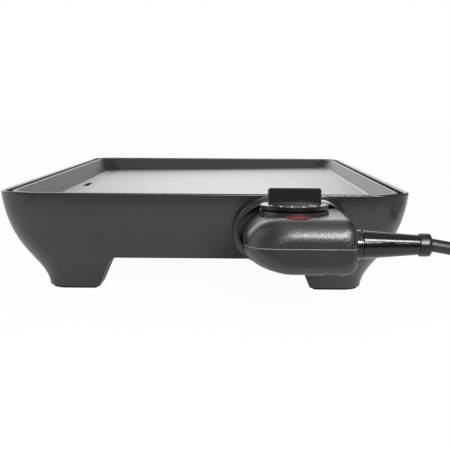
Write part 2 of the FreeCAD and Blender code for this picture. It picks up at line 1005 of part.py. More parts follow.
def terminal_insulators():
    """Ceramic bushes round the pins, each with a flange inside the guard's back wall."""
    bushes = []
    front = guard_back_y - guard_back - insulator_flange
    for x in terminal_places():
        bush = backward(insulator_radius, front, guard_back_y, x, element_z)
        flange = backward(insulator_flange_radius, front, front + insulator_flange, x, element_z)
        hole = backward(pin_radius + pin_gap, front - 1, guard_back_y + 1, x, element_z)
        bushes.append(bush.fuse(flange).cut(hole))
    return group(bushes)


def terminal_guard():
    """A moulded box behind the socket, with a flange that closes the hood's bore."""
    front = body_front_y + guard_setback
    flange = raised(hood_bore_outline(guard_gap, front), Vector(0, guard_flange, 0))
    half_width = guard_mouth_width / 2
    half_height = guard_mouth_height / 2
    outer = raised(oval_ended(
        socket_x - half_width - guard_wall, socket_x + half_width + guard_wall,
        element_z - half_height - guard_wall, element_z + half_height + guard_wall,
        half_height + guard_wall, facing_front(front),
    ), Vector(0, guard_depth, 0))
    mouth = raised(oval_ended(
        socket_x - half_width, socket_x + half_width, element_z - half_height, element_z + half_height,
        half_height, facing_front(front - 1),
    ), Vector(0, guard_depth - guard_back + 1, 0))
    lugs = []
    lug_low = guard_top_z() - guard_lug_thickness
    for x, y in guard_lug_places():
        half = guard_lug / 2
        toward = guard_lug * (1 if x < socket_x else -1)
        lug_left = min(x - half, x - half + toward)
        lug_right = max(x + half, x + half + toward)
        lugs.append(block(lug_left, lug_right, y - half, y + half, lug_low, guard_top_z()))
    guard = flange.multiFuse([outer] + lugs)
    cuts = [mouth]
    for x in terminal_places():
        cuts.append(backward(insulator_radius + pin_gap, front, guard_back_y + 1, x, element_z))
    cuts.append(backward(sleeve_radius() + pin_gap, front, guard_back_y + 1, socket_x, element_z))
    for x, y in guard_lug_places():
        cuts.append(upright(post_hole_radius, element_z, rim_height, x, y))
    return guard.cut(cuts).removeSplitter()


def guard_screws():
    seat = guard_top_z() - guard_lug_thickness
    return group([
        pan_screw(
            thread_radius - thread_gap, screw_head_radius, screw_head_height,
            seat, guard_top_z() + guard_pad_gap + guard_screw_reach, x, y,
        )
        for x, y in guard_lug_places()
    ])


def probe_sleeve():
    outer = sleeve_radius()
    inner = probe_radius + probe_gap
    front = guard_back_y - guard_back
    tube = backward(outer, front, sleeve_end_y, socket_x, element_z)
    bore = backward(inner, front - 1, sleeve_end_y - probe_sleeve_wall, socket_x, element_z)
    return tube.cut(bore)


def reflector_bead(y, margin, depth):
    half = bead_length / 2 - margin
    width = bead_width / 2 - margin
    outline = rounded_rectangle(
        -half, half, y - width, y + width, width - slot_end_flat, on_level(reflector_z + reflector_sheet)
    )
    return raised(outline, Vector(0, 0, -depth))


def heat_reflector():
    """A pressed sheet under the element, with a turned-up edge and stiffening beads."""
    half_x = body_width / 2 - reflector_margin_side
    half_y = body_length / 2 - reflector_margin_end
    flange = Vector(0, 0, reflector_flange)
    outside = body_rectangle(half_x, half_y, reflector_corner_radius, reflector_z)
    inside = body_rectangle(
        half_x - reflector_sheet, half_y - reflector_sheet,
        reflector_corner_radius - reflector_sheet, reflector_z + reflector_sheet,
    )
    sheet = raised(outside, flange).cut(raised(inside, flange))
    reaches = [tray_width / 2 + bead_start, tray_width / 2 + bead_start + bead_pitch]
    for y in [body_centre_y + side * reach for side in (-1, 1) for reach in reaches]:
        sheet = sheet.fuse(reflector_bead(y, 0, bead_depth + reflector_sheet))
        sheet = sheet.cut(reflector_bead(y, reflector_sheet, bead_depth))
    cuts = [upright(post_hole_radius, reflector_z - 1, rim_height, x, y) for x, y in post_places()]
    left, right = terminal_places()
    cuts.append(block(
        left - reflector_notch_margin, right + reflector_notch_margin,
        body_front_y, body_centre_y - half_y + reflector_corner_radius,
        reflector_z + reflector_sheet, rim_height,
    ))
    return sheet.cut(cuts)


def plate_spacers():
    return group([
        tube_upright(spacer_radius, post_hole_radius, reflector_z + reflector_sheet, boss_bottom_z, x, y)
        for x, y in post_places()
    ])


def plate_screws():
    return group([
        pan_screw(
            thread_radius - thread_gap, screw_head_radius, screw_head_height,
            screw_seat_z, boss_bottom_z + thread_depth - screw_end_gap, x, y,
        )
        for x, y in post_places()
    ])


# Drip tray and its rails

def drip_tray(outer, inner):
    """A tray whose front is a piece of the housing's own wall, with a lip to pull it by."""
    right = -body_width / 2 + skirt_inset(tray_bottom_z) + tray_depth
    body = tray_box(0, right).common(outer)
    half = tray_width / 2 - tray_wall
    hollow = block(
        -body_width / 2, right - tray_wall, body_centre_y - half, body_centre_y + half,
        tray_bottom_z + tray_wall, tray_top_z + 1,
    ).common(inner)
    return body.cut(hollow).fuse(tray_pull(outer)).removeSplitter()


def tray_pull(outer):
    middle = (tray_bottom_z + tray_top_z) / 2
    low = middle - pull_thickness / 2
    section = skirt_section(middle, -pull_reach)
    slab = raised(section, Vector(0, 0, pull_thickness))
    slab.translate(Vector(0, 0, low - middle))
    half = pull_width / 2
    points = rectangle_points(-body_width, -body_width / 4, body_centre_y - half, body_centre_y + half)
    window = raised(rounded_outline(points, [0] * 4, on_level(low - 1)), Vector(0, 0, pull_thickness + 2))
    return slab.common(window).cut(outer)


def tray_rails():
    """Two hooked strips on the housing's floor that guide the tray's sides."""
    start = -body_width / 2 + rail_start
    inner = tray_width / 2 + tray_side_gap
    hook_low = tray_top_z + tray_under_gap
    hook_high = reflector_z - tray_under_gap
    points = [
        (inner, floor_top),
        (inner + rail_wall + rail_foot, floor_top),
        (inner + rail_wall + rail_foot, floor_top + rail_wall),
        (inner + rail_wall, floor_top + rail_wall),
        (inner + rail_wall, hook_high),
        (inner - rail_hook, hook_high),
        (inner - rail_hook, hook_low),
        (inner, hook_low),
    ]
    rails = []
    for side in (-1, 1):
        flat = [(body_centre_y + side * u, v) for u, v in points]
        outline = rounded_outline(flat, [0] * len(flat), facing_side(start))
        rail = raised(outline, Vector(rail_length, 0, 0))
        holes = [
            upright(rail_screw_radius + thread_gap, floor_top - 1, floor_top + rail_wall + 1, x, y)
            for x, y in rail_places()
        ]
        rails.append(rail.cut(holes))
    return group(rails)


def rail_screws():
    seat = floor_top + rail_wall
    screws = []
    for x, y in rail_places():
        shank = upright(rail_screw_radius, leg_height + rail_screw_skin, seat, x, y)
        head = Part.makeCone(rail_screw_head, rail_screw_radius, rail_screw_head_height, Vector(x, y, seat))
        screws.append(shank.fuse(head))
    return group(screws)


# Case of the heat control

def nose_cut(radius, distance):
    """How far a rounding of that radius draws in at a distance behind the front."""
    if distance >= radius:
        return 0.0
    return radius - math.sqrt(radius ** 2 - (radius - distance) ** 2)


def control_outline(distance, inset):
    """The control's outline seen from the front, at a distance behind its front face."""
    left = control_left_x + inset + nose_cut(nose_left_radius - inset, distance)
    right = control_right_x - inset - nose_cut(nose_right_radius - inset, distance)
    low = control_bottom + inset + nose_cut(nose_bottom_radius - inset, distance)
    high = control_top - inset - nose_cut(nose_top_radius - inset, distance)
    end = control_end_ratio * (high - low) / 2
    place = facing_front(control_front_y + inset + distance)
    return bulb_outline(left, right, low, high, end, control_corner_radius - inset, place)


def control_body(inset):
    """The control's whole form, moved in by an inset."""
    nose_length = nose_left_radius - inset
    nose = Part.makeLoft([control_outline(nose_length * s, inset) for s in nose_shares], True, False)
    nose_back_y = control_front_y + inset + nose_length
    rear = raised(control_outline(nose_length, inset), Vector(0, control_back_y - inset - nose_back_y, 0))
    return nose.fuse(rear)


def case_screw_places():
    return [
        (control_left_x + case_screw_left_inset, control_back_y - case_screw_left_setback),
        (control_right_x - case_screw_right_inset, control_back_y - case_screw_right_setback),
        (control_left_x + case_screw_nose_inset, control_front_y + case_screw_nose_setback),
    ]


def block_outline(margin, y):
    half_width = block_width / 2 + margin
    half_height = block_height / 2 + margin
    return oval_ended(
        socket_x - half_width, socket_x + half_width,
        element_z - half_height, element_z + half_height, half_height, facing_front(y),
    )


def case_openings():
    """What passes through the case: the contact block, the strain relief and the screws' heads."""
    way = raised(block_outline(block_gap, block_front_y), Vector(0, block_flange + control_wall + 1, 0))
    neck = Part.makeCylinder(
        relief_neck_radius + relief_neck_gap, 2 * control_wall + 1,
        Vector(control_right_x - 2 * control_wall, cord_exit_y, control_seam), Vector(1, 0, 0),
    )
    return [way, neck]


def half_space(z, up):
    reach = control_reach * 2
    low = z if up else z - reach
    return block(
        socket_x - reach, socket_x + reach,
        control_front_y - reach, control_back_y + reach, low, low + reach,
    )


def lens_prism(margin):
    half_x = lens_half_width + margin
    half_y = lens_half_length + margin
    low = control_top - nose_top_radius
    ellipse = Part.Ellipse(
        Vector(lens_x + half_x, lens_y, low),
        Vector(lens_x, lens_y + half_y, low),
        Vector(lens_x, lens_y, low),
    )
    return raised(Part.Wire(ellipse.toShape()), Vector(0, 0, 2 * nose_top_radius))


def case_posts(whole, low, high):
    """The screws' posts between two heights, trimmed to the case's outside."""
    return [upright(case_post_radius, low, high, x, y).common(whole) for x, y in case_screw_places()]


def control_upper_shell(whole, hollow):
    case = whole.cut(hollow)
    ring = tube_upright(
        dial_ring_radius, dial_ring_radius - dial_ring_width,
        control_top - dial_ring_root, control_top + dial_ring_height, socket_x, dial_y,
    ).cut(hollow)
    posts = case_posts(whole, control_seam, control_top)
    case = case.multiFuse([ring] + posts).common(half_space(control_seam + control_seam_gap / 2, True))
    cuts = case_openings() + [lens_prism(lens_gap)]
    cuts.append(upright(hub_radius + hub_gap, control_seam, dial_top, socket_x, dial_y))
    thread_top = control_seam + case_screw_reach + screw_end_gap
    for x, y in case_screw_places():
        cuts.append(upright(case_screw_radius + thread_gap, control_seam - 1, thread_top, x, y))
    return case.cut(cuts).removeSplitter()


def control_lower_shell(whole, hollow):
    case = whole.cut(hollow)
    posts = case_posts(whole, control_bottom, control_seam)
    case = case.multiFuse(posts).common(half_space(control_seam - control_seam_gap / 2, False))
    lamp_post_top = lamp_z - lamp_radius - lamp_seat_gap
    lamp_post_foot = control_bottom + control_wall / 2
    case = case.fuse(upright(lamp_post_radius, lamp_post_foot, lamp_post_top, lens_x, lens_y))
    cuts = case_openings()
    notch_right = control_right_x - notch_inset
    cuts.append(block(
        notch_right - notch_width, notch_right, control_front_y + notch_length / 2,
        control_front_y + notch_length * 1.5, control_bottom - 1, control_bottom + notch_depth,
    ))
    head_seat = control_bottom + case_screw_sink + screw_head_height
    for x, y in case_screw_places():
        cuts.append(upright(case_screw_radius + case_screw_way, control_bottom - 1, control_seam + 1, x, y))
        cuts.append(upright(case_screw_head + screw_head_gap, control_bottom - 1, head_seat, x, y))
    return case.cut(cuts).removeSplitter()


def control_screws():
    head_seat = control_bottom + case_screw_sink + screw_head_height
    tip = control_seam + case_screw_reach
    return group([
        pan_screw(case_screw_radius, case_screw_head, screw_head_height, head_seat, tip, x, y)
        for x, y in case_screw_places()
    ])


# Contact block, probe and thermostat

def contact_bore():
    return pin_radius + contact_gap + contact_wall


def contact_block():
    flange = raised(block_outline(block_flange_margin, block_front_y), Vector(0, block_flange, 0))
    nose = raised(block_outline(0, block_front_y), Vector(0, block_back_y - block_front_y, 0))
    nose = nose.makeFillet(block_rounding, edges_where(nose, lambda p: abs(p.y - block_back_y) < 1e-6))
    cuts = [backward(probe_radius + pin_gap, block_front_y - 1, block_back_y + 1, socket_x, element_z)]
    sleeve_front = block_back_y - contact_depth
    for x in terminal_places():
        cuts.append(backward(contact_bore() + pin_gap, sleeve_front, block_back_y + 1, x, element_z))
        cuts.append(backward(contact_tail_radius + pin_gap, block_front_y - 1, block_back_y, x, element_z))
    return nose.fuse(flange).cut(cuts)


def contact_sleeves():
    """Brass tubes that take the terminal pins, each with a tail into the control."""
    sleeves = []
    front = block_back_y - contact_depth
    for x in terminal_places():
        tube = backward(contact_bore(), front, block_back_y - contact_setback, x, element_z)
        bore = backward(pin_radius + contact_gap, front + contact_end, block_back_y, x, element_z)
        tail = backward(contact_tail_radius, block_front_y - contact_tail, front, x, element_z)
        sleeves.append(tube.cut(bore).fuse(tail))
    return group(sleeves)


def probe_rod():
    rod = backward(probe_radius, block_front_y - probe_root, probe_tip_y, socket_x, element_z)
    return rod.makeChamfer(probe_bevel, edges_where(rod, lambda p: abs(p.y - probe_tip_y) < 1e-6))


def thermostat_frame():
    """A folded steel plate: its foot carries the dial's shaft, its back stands on the block."""
    half = frame_width / 2
    back = block_front_y
    foot = block(socket_x - half, socket_x + half, back - frame_length, back, frame_z, frame_z + frame_sheet)
    wall = block(socket_x - half, socket_x + half, back - frame_sheet, back, frame_z, element_z + frame_rise)
    hole = upright(shaft_radius + shaft_gap, frame_z - 1, frame_z + frame_sheet + 1, socket_x, dial_y)
    way = backward(probe_radius + frame_probe_gap, back - frame_sheet - 1, back + 1, socket_x, element_z)
    return foot.fuse(wall).cut([hole, way]).removeSplitter()


def stack_place():
    return socket_x, block_front_y - frame_sheet - stack_margin - stack_radius


def stack_offset():
    """The stacks stand on both sides of the probe's end."""
    return probe_radius + leaf_clearance + stack_radius


def switch_stack():
    """Ceramic washers that hold the two leaves apart over the frame."""
    x, y = stack_place()
    upper_low = leaf_z + leaf_sheet + leaf_gap
    stacks = []
    for side in (-1, 1):
        place_x = x + side * stack_offset()
        stacks.append(upright(stack_radius, frame_z + frame_sheet, leaf_z - leaf_gap, place_x, y))
        stacks.append(upright(stack_radius, upper_low, leaf_z + leaf_spacing - leaf_gap, place_x, y))
    return group(stacks)


def switch_leaves():
    """Two spring leaves with contacts; the lower one carries the pin that follows the cam."""
    x, y = stack_place()
    half = leaf_width / 2
    wide = stack_offset() + stack_radius
    leaves = []
    for level in (leaf_z, leaf_z + leaf_spacing):
        root = block(x - wide, x + wide, y - stack_radius, y + stack_radius, level, level + leaf_sheet)
        tongue = block(x - half, x + half, y - leaf_length, y, level, level + leaf_sheet)
        leaves.append(root.fuse(tongue))
    tip_y = y - leaf_length + half
    follower = upright(follower_radius, cam_z + cam_thickness + follower_gap, leaf_z, x, tip_y)
    contact = upright(follower_radius, leaf_z + leaf_sheet, leaf_z + leaf_sheet + contact_height, x, tip_y)
    leaves[0] = leaves[0].multiFuse([follower, contact])
    return group(leaves)


def pilot_lamp():
    """A small glass lamp across the control, under the lens."""
    left = lens_x - lamp_length / 2
    lamp = Part.makeCylinder(lamp_radius, lamp_length, Vector(left, lens_y, lamp_z), Vector(1, 0, 0))
    rims = [e for e in lamp.Edges if len(e.Vertexes) == 1]
    return lamp.makeChamfer(lamp_bevel, rims)


def pilot_lens(hollow):
    return lens_prism(0).common(control_body(-lens_proud)).cut(hollow)


# Dial

def dial_knob():
    disc = turned_disc()
    half = grip_length / 2
    low = dial_bottom + dial_edge
    high = dial_top + grip_height
    outline = rounded_outline(
        rectangle_points(socket_x - half, socket_x + half, low, high),
        [0, 0, grip_corner_radius, grip_corner_radius], facing_front(dial_y - grip_thickness / 2),
    )
    grip = raised(outline, Vector(0, grip_thickness, 0))
    grip = grip.makeChamfer(grip_bevel, edges_where(grip, lambda p: p.z > high - grip_corner_radius - 1e-6))
    hub = upright(hub_radius, dial_bottom - hub_drop, dial_bottom + 1, socket_x, dial_y)
    bore_low = dial_bottom - hub_drop - 1
    bore = upright(shaft_radius + shaft_gap, bore_low, high - shaft_top_cover, socket_x, dial_y)
    return disc.multiFuse([grip, hub]).cut(bore).removeSplitter()


def turned_disc():
    """The dial's disc: an upright edge and a low dome."""
    axis = Vector(socket_x, dial_y, 0)
    edge_top = dial_bottom + dial_edge
    corners = [
        axis + Vector(0, 0, dial_bottom),
        axis + Vector(dial_radius - dial_bottom_bevel, 0, dial_bottom),
        axis + Vector(dial_radius, 0, dial_bottom + dial_bottom_bevel),
        axis + Vector(dial_radius, 0, edge_top - dial_top_bevel),
        axis + Vector(dial_radius - dial_top_bevel, 0, edge_top),
    ]
    top = axis + Vector(0, 0, dial_top)
    shoulder = axis + Vector(dial_radius * dial_shoulder_share, 0, edge_top + dial_dome * dial_shoulder_rise)
    edges = [Part.makeLine(a, b) for a, b in zip(corners, corners[1:])]
    edges.append(Part.Arc(corners[-1], shoulder, top).toShape())
    edges.append(Part.makeLine(top, corners[0]))
    return Part.Face(Part.Wire(edges)).revolve(axis, Vector(0, 0, 1), 360)


def dial_shaft():
    """The shaft from the thermostat's frame up into the knob, with its eccentric cam."""
    top = dial_top + grip_height - shaft_top_cover - shaft_top_gap
    shaft = upright(shaft_radius, frame_z - shaft_foot + frame_sheet, top, socket_x, dial_y)
    cam = upright(cam_radius, cam_z, cam_z + cam_thickness, socket_x, dial_y + cam_offset)
    return shaft.fuse(cam)


# Strain relief, cord and plug

def strain_relief():
    """A moulded sleeve held in the case's side: anchor, neck, collar, groove, cone and bead."""
    anchor_right = control_right_x - control_wall - relief_seat_gap
    anchor_left = anchor_right - relief_anchor_length
    corners = [
        (anchor_left, 0, 0),
        (anchor_left, relief_anchor_radius, 0),
        (anchor_right, relief_anchor_radius, 0),
        (anchor_right, relief_neck_radius, 0),
        (relief_x, relief_neck_radius, 0),
        (relief_x, relief_collar_radius, 0),
        (relief_groove_x, relief_collar_radius, relief_edge_rounding),
        (relief_groove_x, relief_groove_radius, 0),
        (relief_cone_x, relief_groove_radius, 0),
        (relief_cone_x, relief_root_radius, relief_edge_rounding),
        (relief_bead_x, relief_tip_radius, 0),
        (relief_bead_x, relief_bead_radius, relief_edge_rounding),
        (cord_exit_x, relief_bead_radius, relief_bead_rounding),
        (cord_exit_x, 0, 0),
    ]
    base = Vector(0, cord_exit_y, control_seam)
    wire = rounded_outline(
        [c[:2] for c in corners], [c[2] for c in corners], lambda along, out: base + Vector(along, 0, out)
    )
    return Part.Face(wire).revolve(base, Vector(1, 0, 0), 360)


def bend(before, corner, after):
    """The arc of a route's corner: its start, middle, end and radius."""
    arriving = corner - before
    leaving = after - corner
    trim = bend_share * min(arriving.Length, leaving.Length)
    arriving.normalize()
    leaving.normalize()
    half = arriving.getAngle(leaving) / 2
    radius = trim / math.tan(half)
    toward = (leaving - arriving).normalize()
    middle = corner + toward * (radius / math.cos(half) - radius)
    return corner - arriving * trim, middle, corner + leaving * trim, radius


def route_wire(points, name):
    """Straight runs joined by tangent arcs."""
    edges = []
    at = points[0]
    radii = []
    for before, corner, after in zip(points, points[1:], points[2:]):
        start, middle, end, radius = bend(before, corner, after)
        edges.append(Part.makeLine(at, start))
        edges.append(Part.Arc(start, middle, end).toShape())
        radii.append(radius)
        at = end
    edges.append(Part.makeLine(at, points[-1]))
    print(name, "bend radii", [round(r, 1) for r in radii], "runs",
          [round(a.distanceToPoint(b), 1) for a, b in zip(points, points[1:])])
    return Part.Wire(edges)


def cord_along(wire, start, direction, name):
    ring = Part.Wire(Part.Circle(start, direction, cord_radius).toShape())
    tube = swept(ring, wire)
    expected = math.pi * cord_radius ** 2 * wire.Length
    print(name, "length", round(wire.Length, 1))
    print(name, "volume over section times length", round(tube.Volume / expected, 4))
    return tube


# The cord's free stretch: steps to the right of its exit, and heights over the table
cord_drop = [
    (0.0, 48.4), (8.0, 48.4), (22.0, 46.2), (41.0, 40.8), (60.0, 31.8),
    (77.0, 22.4), (93.0, 15.8), (108.0, 13.45), (121.0, 13.45),
]
# The cord's last stretch: steps behind the coil, and heights over the table
cord_rise = [(0.0, 4.35), (16.0, 4.35), (35.7, 7.85), (55.0, 13.1), (71.0, 13.1)]


def drop_points():
    return [Vector(cord_exit_x + step, cord_exit_y, height) for step, height in cord_drop]


def coil_centre():
    start = drop_points()[-1]
    return Vector(start.x + cord_diameter, start.y + coil_outer_radius, 0)


def coil_state(turn):
    """A point on the coil's middle line and its direction, after some turns from the entry."""
    total = coil_turns_in + coil_turns_out
    climb_start = coil_turns_in - 0.25
    climb = min(max((turn - climb_start) / 0.5, 0.0), 1.0)
    inward = -coil_pitch if turn < coil_turns_in - 1e-9 else coil_pitch
    if turn < 1e-9 or turn > total - 1e-9 or abs(turn - coil_turns_in) < 1e-9:
        inward = 0.0
    if turn <= coil_turns_in:
        radius = coil_outer_radius - coil_pitch * turn
    else:
        radius = coil_outer_radius - coil_pitch * (2 * coil_turns_in - turn)
    angle = 2 * math.pi * turn - math.pi / 2
    z = coil_top_z + (cord_floor_z - coil_top_z) * (1 - math.cos(math.pi * climb)) / 2
    fall = (cord_floor_z - coil_top_z) * math.pi * math.sin(math.pi * climb)
    out = Vector(math.cos(angle), math.sin(angle), 0)
    onward = Vector(-math.sin(angle), math.cos(angle), 0)
    point = coil_centre() + out * radius + Vector(0, 0, z)
    direction = onward * (2 * math.pi * radius) + out * inward + Vector(0, 0, fall)
    return point, direction.normalize()


def arc_from(start, direction, end):
    """The arc that leaves start in a direction and reaches end."""
    chord = end - start
    along = Vector(chord).normalize()
    side = direction - along * direction.dot(along)
    turn = direction.getAngle(along)
    middle = (start + end) * 0.5 + side.normalize() * (chord.Length / 2 * math.tan(turn / 2))
    return Part.Arc(start, middle, end).toShape()


def biarc(start, start_way, end, end_way):
    """Two arcs that join two points and keep both directions."""
    across = end - start
    ways = start_way + end_way
    spread = 2 * (1 - start_way.dot(end_way))
    reach = across.dot(ways)
    length = (-reach + math.sqrt(reach ** 2 + spread * across.dot(across))) / spread
    joint = (start + start_way * length + end - end_way * length) * 0.5
    first = arc_from(start, start_way, joint)
    second = arc_from(end, end_way * -1, joint)
    return [first, second]


def coil_wire():
    steps = round(4 * (coil_turns_in + coil_turns_out))
    states = [coil_state(i / 4) for i in range(steps + 1)]
    entry, entry_way = states[0]
    leave, leave_way = states[-1]
    edges = [Part.makeLine(entry - entry_way * cord_diameter, entry)]
    for (start, start_way), (end, end_way) in zip(states, states[1:]):
        edges += biarc(start, start_way, end, end_way)
    edges.append(Part.makeLine(leave, leave + leave_way * cord_diameter))
    return Part.Wire(edges)


def coil_least_gap(wire):
    """The least gap of the coil to itself, measured on points of its middle line."""
    points = wire.discretize(coil_samples)
    step = wire.Length / (coil_samples - 1)
    apart = int(3 * cord_diameter / step)
    nearest = min(
        points[i].distanceToPoint(points[j])
        for i in range(0, coil_samples, 2)
        for j in range(i + apart, coil_samples)
    )
    return nearest - cord_diameter


def coil_end():
    point, way = coil_state(coil_turns_in + coil_turns_out)
    return point + way * cord_diameter


def rise_points():
    start = coil_end()
    return [Vector(start.x, start.y + step, height) for step, height in cord_rise]


def power_cord():
    points = drop_points()
    return cord_along(route_wire(points, "power_cord"), points[0], Vector(1, 0, 0), "power_cord")


def cord_coil():
    wire = coil_wire()
    print("cord_coil least gap to itself", round(coil_least_gap(wire), 2))
    return cord_along(wire, drop_points()[-1], Vector(1, 0, 0), "cord_coil")


def cord_end():
    points = rise_points()
    return cord_along(route_wire(points, "cord_end"), points[0], Vector(0, 1, 0), "cord_end")


def plug_start():
    return rise_points()[-1]


def plug_face_y():
    return plug_start().y + plug_tail_length + plug_body_length


def plug_body():
    """A moulded plug: a short tapered tail that swells into a rounded body."""
    start = plug_start()
    tail = plug_tail_radius
    tail_corner = tail - plug_tail_swell
    swelled = tail + plug_tail_swell
    shoulder_x = plug_shoulder_share * plug_width / 2
    shoulder_z = plug_shoulder_share * plug_thickness / 2
    shapes = [
        (0.0, tail, tail, tail_corner),
        (plug_shoulder_place / 2, swelled, swelled, tail_corner),
        (plug_shoulder_place, shoulder_x, shoulder_z, plug_corner_radius),
        (1.0, plug_width / 2, plug_thickness / 2, plug_corner_radius),
    ]
    sections = []
    for share, half_x, half_z, radius in shapes:
        sections.append(rounded_rectangle(
            start.x - half_x, start.x + half_x, plug_z - half_z, plug_z + half_z, radius,
            facing_front(start.y + share * plug_tail_length),
        ))
    body = raised(sections[-1], Vector(0, plug_body_length, 0))
    body = body.makeFillet(plug_rounding, edges_where(body, lambda p: abs(p.y - plug_face_y()) < 1e-6))
    return Part.makeLoft(sections, True, False).fuse(body).removeSplitter()


def plug_blades():
    x = plug_start().x
    y = plug_face_y()
    low = plug_z - blade_drop - blade_width / 2
    radii = [0, blade_corner_radius, blade_corner_radius, 0]
    blades = []
    for side in (-1, 1):
        left = x + side * blade_spacing / 2 - blade_thickness / 2
        points = rectangle_points(y, y + blade_length, low, low + blade_width)
        outline = rounded_outline(points, radii, facing_side(left))
        blades.append(raised(outline, Vector(blade_thickness, 0, 0)))
    return group(blades)


def plug_ground_pin():
    y = plug_face_y()
    pin = backward(ground_radius, y, y + ground_length, plug_start().x, plug_z + ground_rise)
    tip = edges_where(pin, lambda p: p.y > y + 1)
    return pin.makeChamfer(ground_bevel, tip)


# Writing the parts

def save(name, shape):
    shape.exportStep(os.path.join("parts", name + ".step"))
    print(name, "solids", len(shape.Solids), "volume", round(shape.Volume, 1), "valid", shape.isValid())


os.makedirs("parts", exist_ok=True)

outer_form = skirt_loft(0, pad_height, rim_height)
inner_form = skirt_loft(housing_wall, pad_height + housing_floor, rim_height + 2)
save("housing", housing(outer_form, housing_cavity(inner_form)))
save("foot_pads", foot_pads())
save("griddle_plate", griddle_plate())
save("heating_element", heating_element())
save("element_clamps", element_clamps())
save("terminal_pins", terminal_pins())
save("terminal_insulators", terminal_insulators())
save("terminal_guard", terminal_guard())
save("guard_screws", guard_screws())
save("probe_sleeve", probe_sleeve())
save("heat_reflector", heat_reflector())
save("plate_spacers", plate_spacers())
save("plate_screws", plate_screws())
save("drip_tray", drip_tray(outer_form, inner_form))
save("tray_rails", tray_rails())
save("rail_screws", rail_screws())

control_form = control_body(0)
control_hollow = control_body(control_wall)
save("control_upper_shell", control_upper_shell(control_form, control_hollow))
save("control_lower_shell", control_lower_shell(control_form, control_hollow))
save("control_screws", control_screws())
save("contact_block", contact_block())
save("contact_sleeves", contact_sleeves())
save("probe_rod", probe_rod())
save("thermostat_frame", thermostat_frame())
save("switch_stack", switch_stack())
save("switch_leaves", switch_leaves())
save("pilot_lamp", pilot_lamp())
save("pilot_lens", pilot_lens(control_hollow))
save("dial_knob", dial_knob())
save("dial_shaft", dial_shaft())
save("strain_relief", strain_relief())
save("power_cord", power_cord())
save("cord_coil", cord_coil())
save("cord_end", cord_end())
save("plug_body", plug_body())
save("plug_blades", plug_blades())
save("plug_ground_pin", plug_ground_pin())
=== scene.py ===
import math

import bmesh
import bpy
from mathutils import Matrix, Vector


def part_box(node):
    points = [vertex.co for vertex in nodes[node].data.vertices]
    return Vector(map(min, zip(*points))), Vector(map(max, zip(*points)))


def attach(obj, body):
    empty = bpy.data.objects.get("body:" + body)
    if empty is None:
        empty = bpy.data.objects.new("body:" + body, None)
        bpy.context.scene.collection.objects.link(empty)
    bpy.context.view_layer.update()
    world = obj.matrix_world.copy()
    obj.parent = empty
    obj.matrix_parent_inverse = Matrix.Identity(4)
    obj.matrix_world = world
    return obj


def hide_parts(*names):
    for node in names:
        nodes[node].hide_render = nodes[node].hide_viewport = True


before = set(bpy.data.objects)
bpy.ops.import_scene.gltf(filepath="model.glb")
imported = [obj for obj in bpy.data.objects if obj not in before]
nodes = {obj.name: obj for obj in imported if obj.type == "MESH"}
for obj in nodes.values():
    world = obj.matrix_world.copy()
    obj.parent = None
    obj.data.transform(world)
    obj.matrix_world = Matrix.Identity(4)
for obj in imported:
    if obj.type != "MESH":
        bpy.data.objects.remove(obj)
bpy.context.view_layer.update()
print("frame loaded with", len(nodes), "nodes")


# camera: the photograph's place and angle, in the part's own frame, in metres and radians
camera = {
    "lensMm": 74.8,
    "sensorMm": 36.0,
    "place": (0.0208, -0.8685, 0.1336),
    "yaw": -0.0083,
    "pitchDown": 0.1217,
    "roll": 0.0063,
    "nearest": 0.01,
    "furthest": 100,
}


def makeCamera(settings):
    data = bpy.data.cameras.new("photoCamera")
    data.lens = settings["lensMm"]
    data.sensor_width = settings["sensorMm"]
    data.clip_start = settings["nearest"]
    data.clip_end = settings["furthest"]
    thing = bpy.data.objects.new("photoCamera", data)
    bpy.context.scene.collection.objects.link(thing)
    turn = (
        Matrix.Rotation(-settings["yaw"], 4, "Z")
        @ Matrix.Rotation(math.pi / 2 - settings["pitchDown"], 4, "X")
        @ Matrix.Rotation(settings["roll"], 4, "Z")
    )
    thing.matrix_world = Matrix.Translation(settings["place"]) @ turn
    bpy.context.scene.camera = thing


makeCamera(camera)
bpy.context.scene.view_settings.view_transform = "Standard"


# cord: straight out of the control, down to the table, into its put-away coil, and up into the plug
cord = {
    "diameter": 0.0085,
    "length": 1.238,
    "exit": (0.1486, -0.2705, 0.0484),
    # steps to the right of the exit, and heights over the table; the first follow the photograph
    "drop": [(0.0, 0.0484), (0.008, 0.0472), (0.022, 0.0442), (0.041, 0.0388), (0.060, 0.0310),
             (0.077, 0.0224), (0.093, 0.0158), (0.108, 0.01345), (0.121, 0.01345)],
    # steps behind the coil's end, and heights over the table
    "rise": [(0.0, 0.00435), (0.016, 0.00435), (0.0357, 0.00785), (0.055, 0.0131), (0.071, 0.0131)],
    "outerRadius": 0.05846,
    "pitch": 0.0091,
    "turnsIn": 1.75,
    "turnsOut": 1.5,
    "climbTurns": 0.5,    # how much of a turn the change of layer takes
    "topLayer": 0.01345,
    "bottomLayer": 0.00435,
    "pointsPerTurn": 16,
    "roundness": 11,      # how finely the sheath is rounded
    "smoothness": 6,      # and how finely its line is drawn between two points
}


def coilRadius(settings, turn):
    # the upper layer winds inwards, and the lower one winds out again under it
    inward = turn if turn <= settings["turnsIn"] else 2 * settings["turnsIn"] - turn
    return settings["outerRadius"] - settings["pitch"] * inward


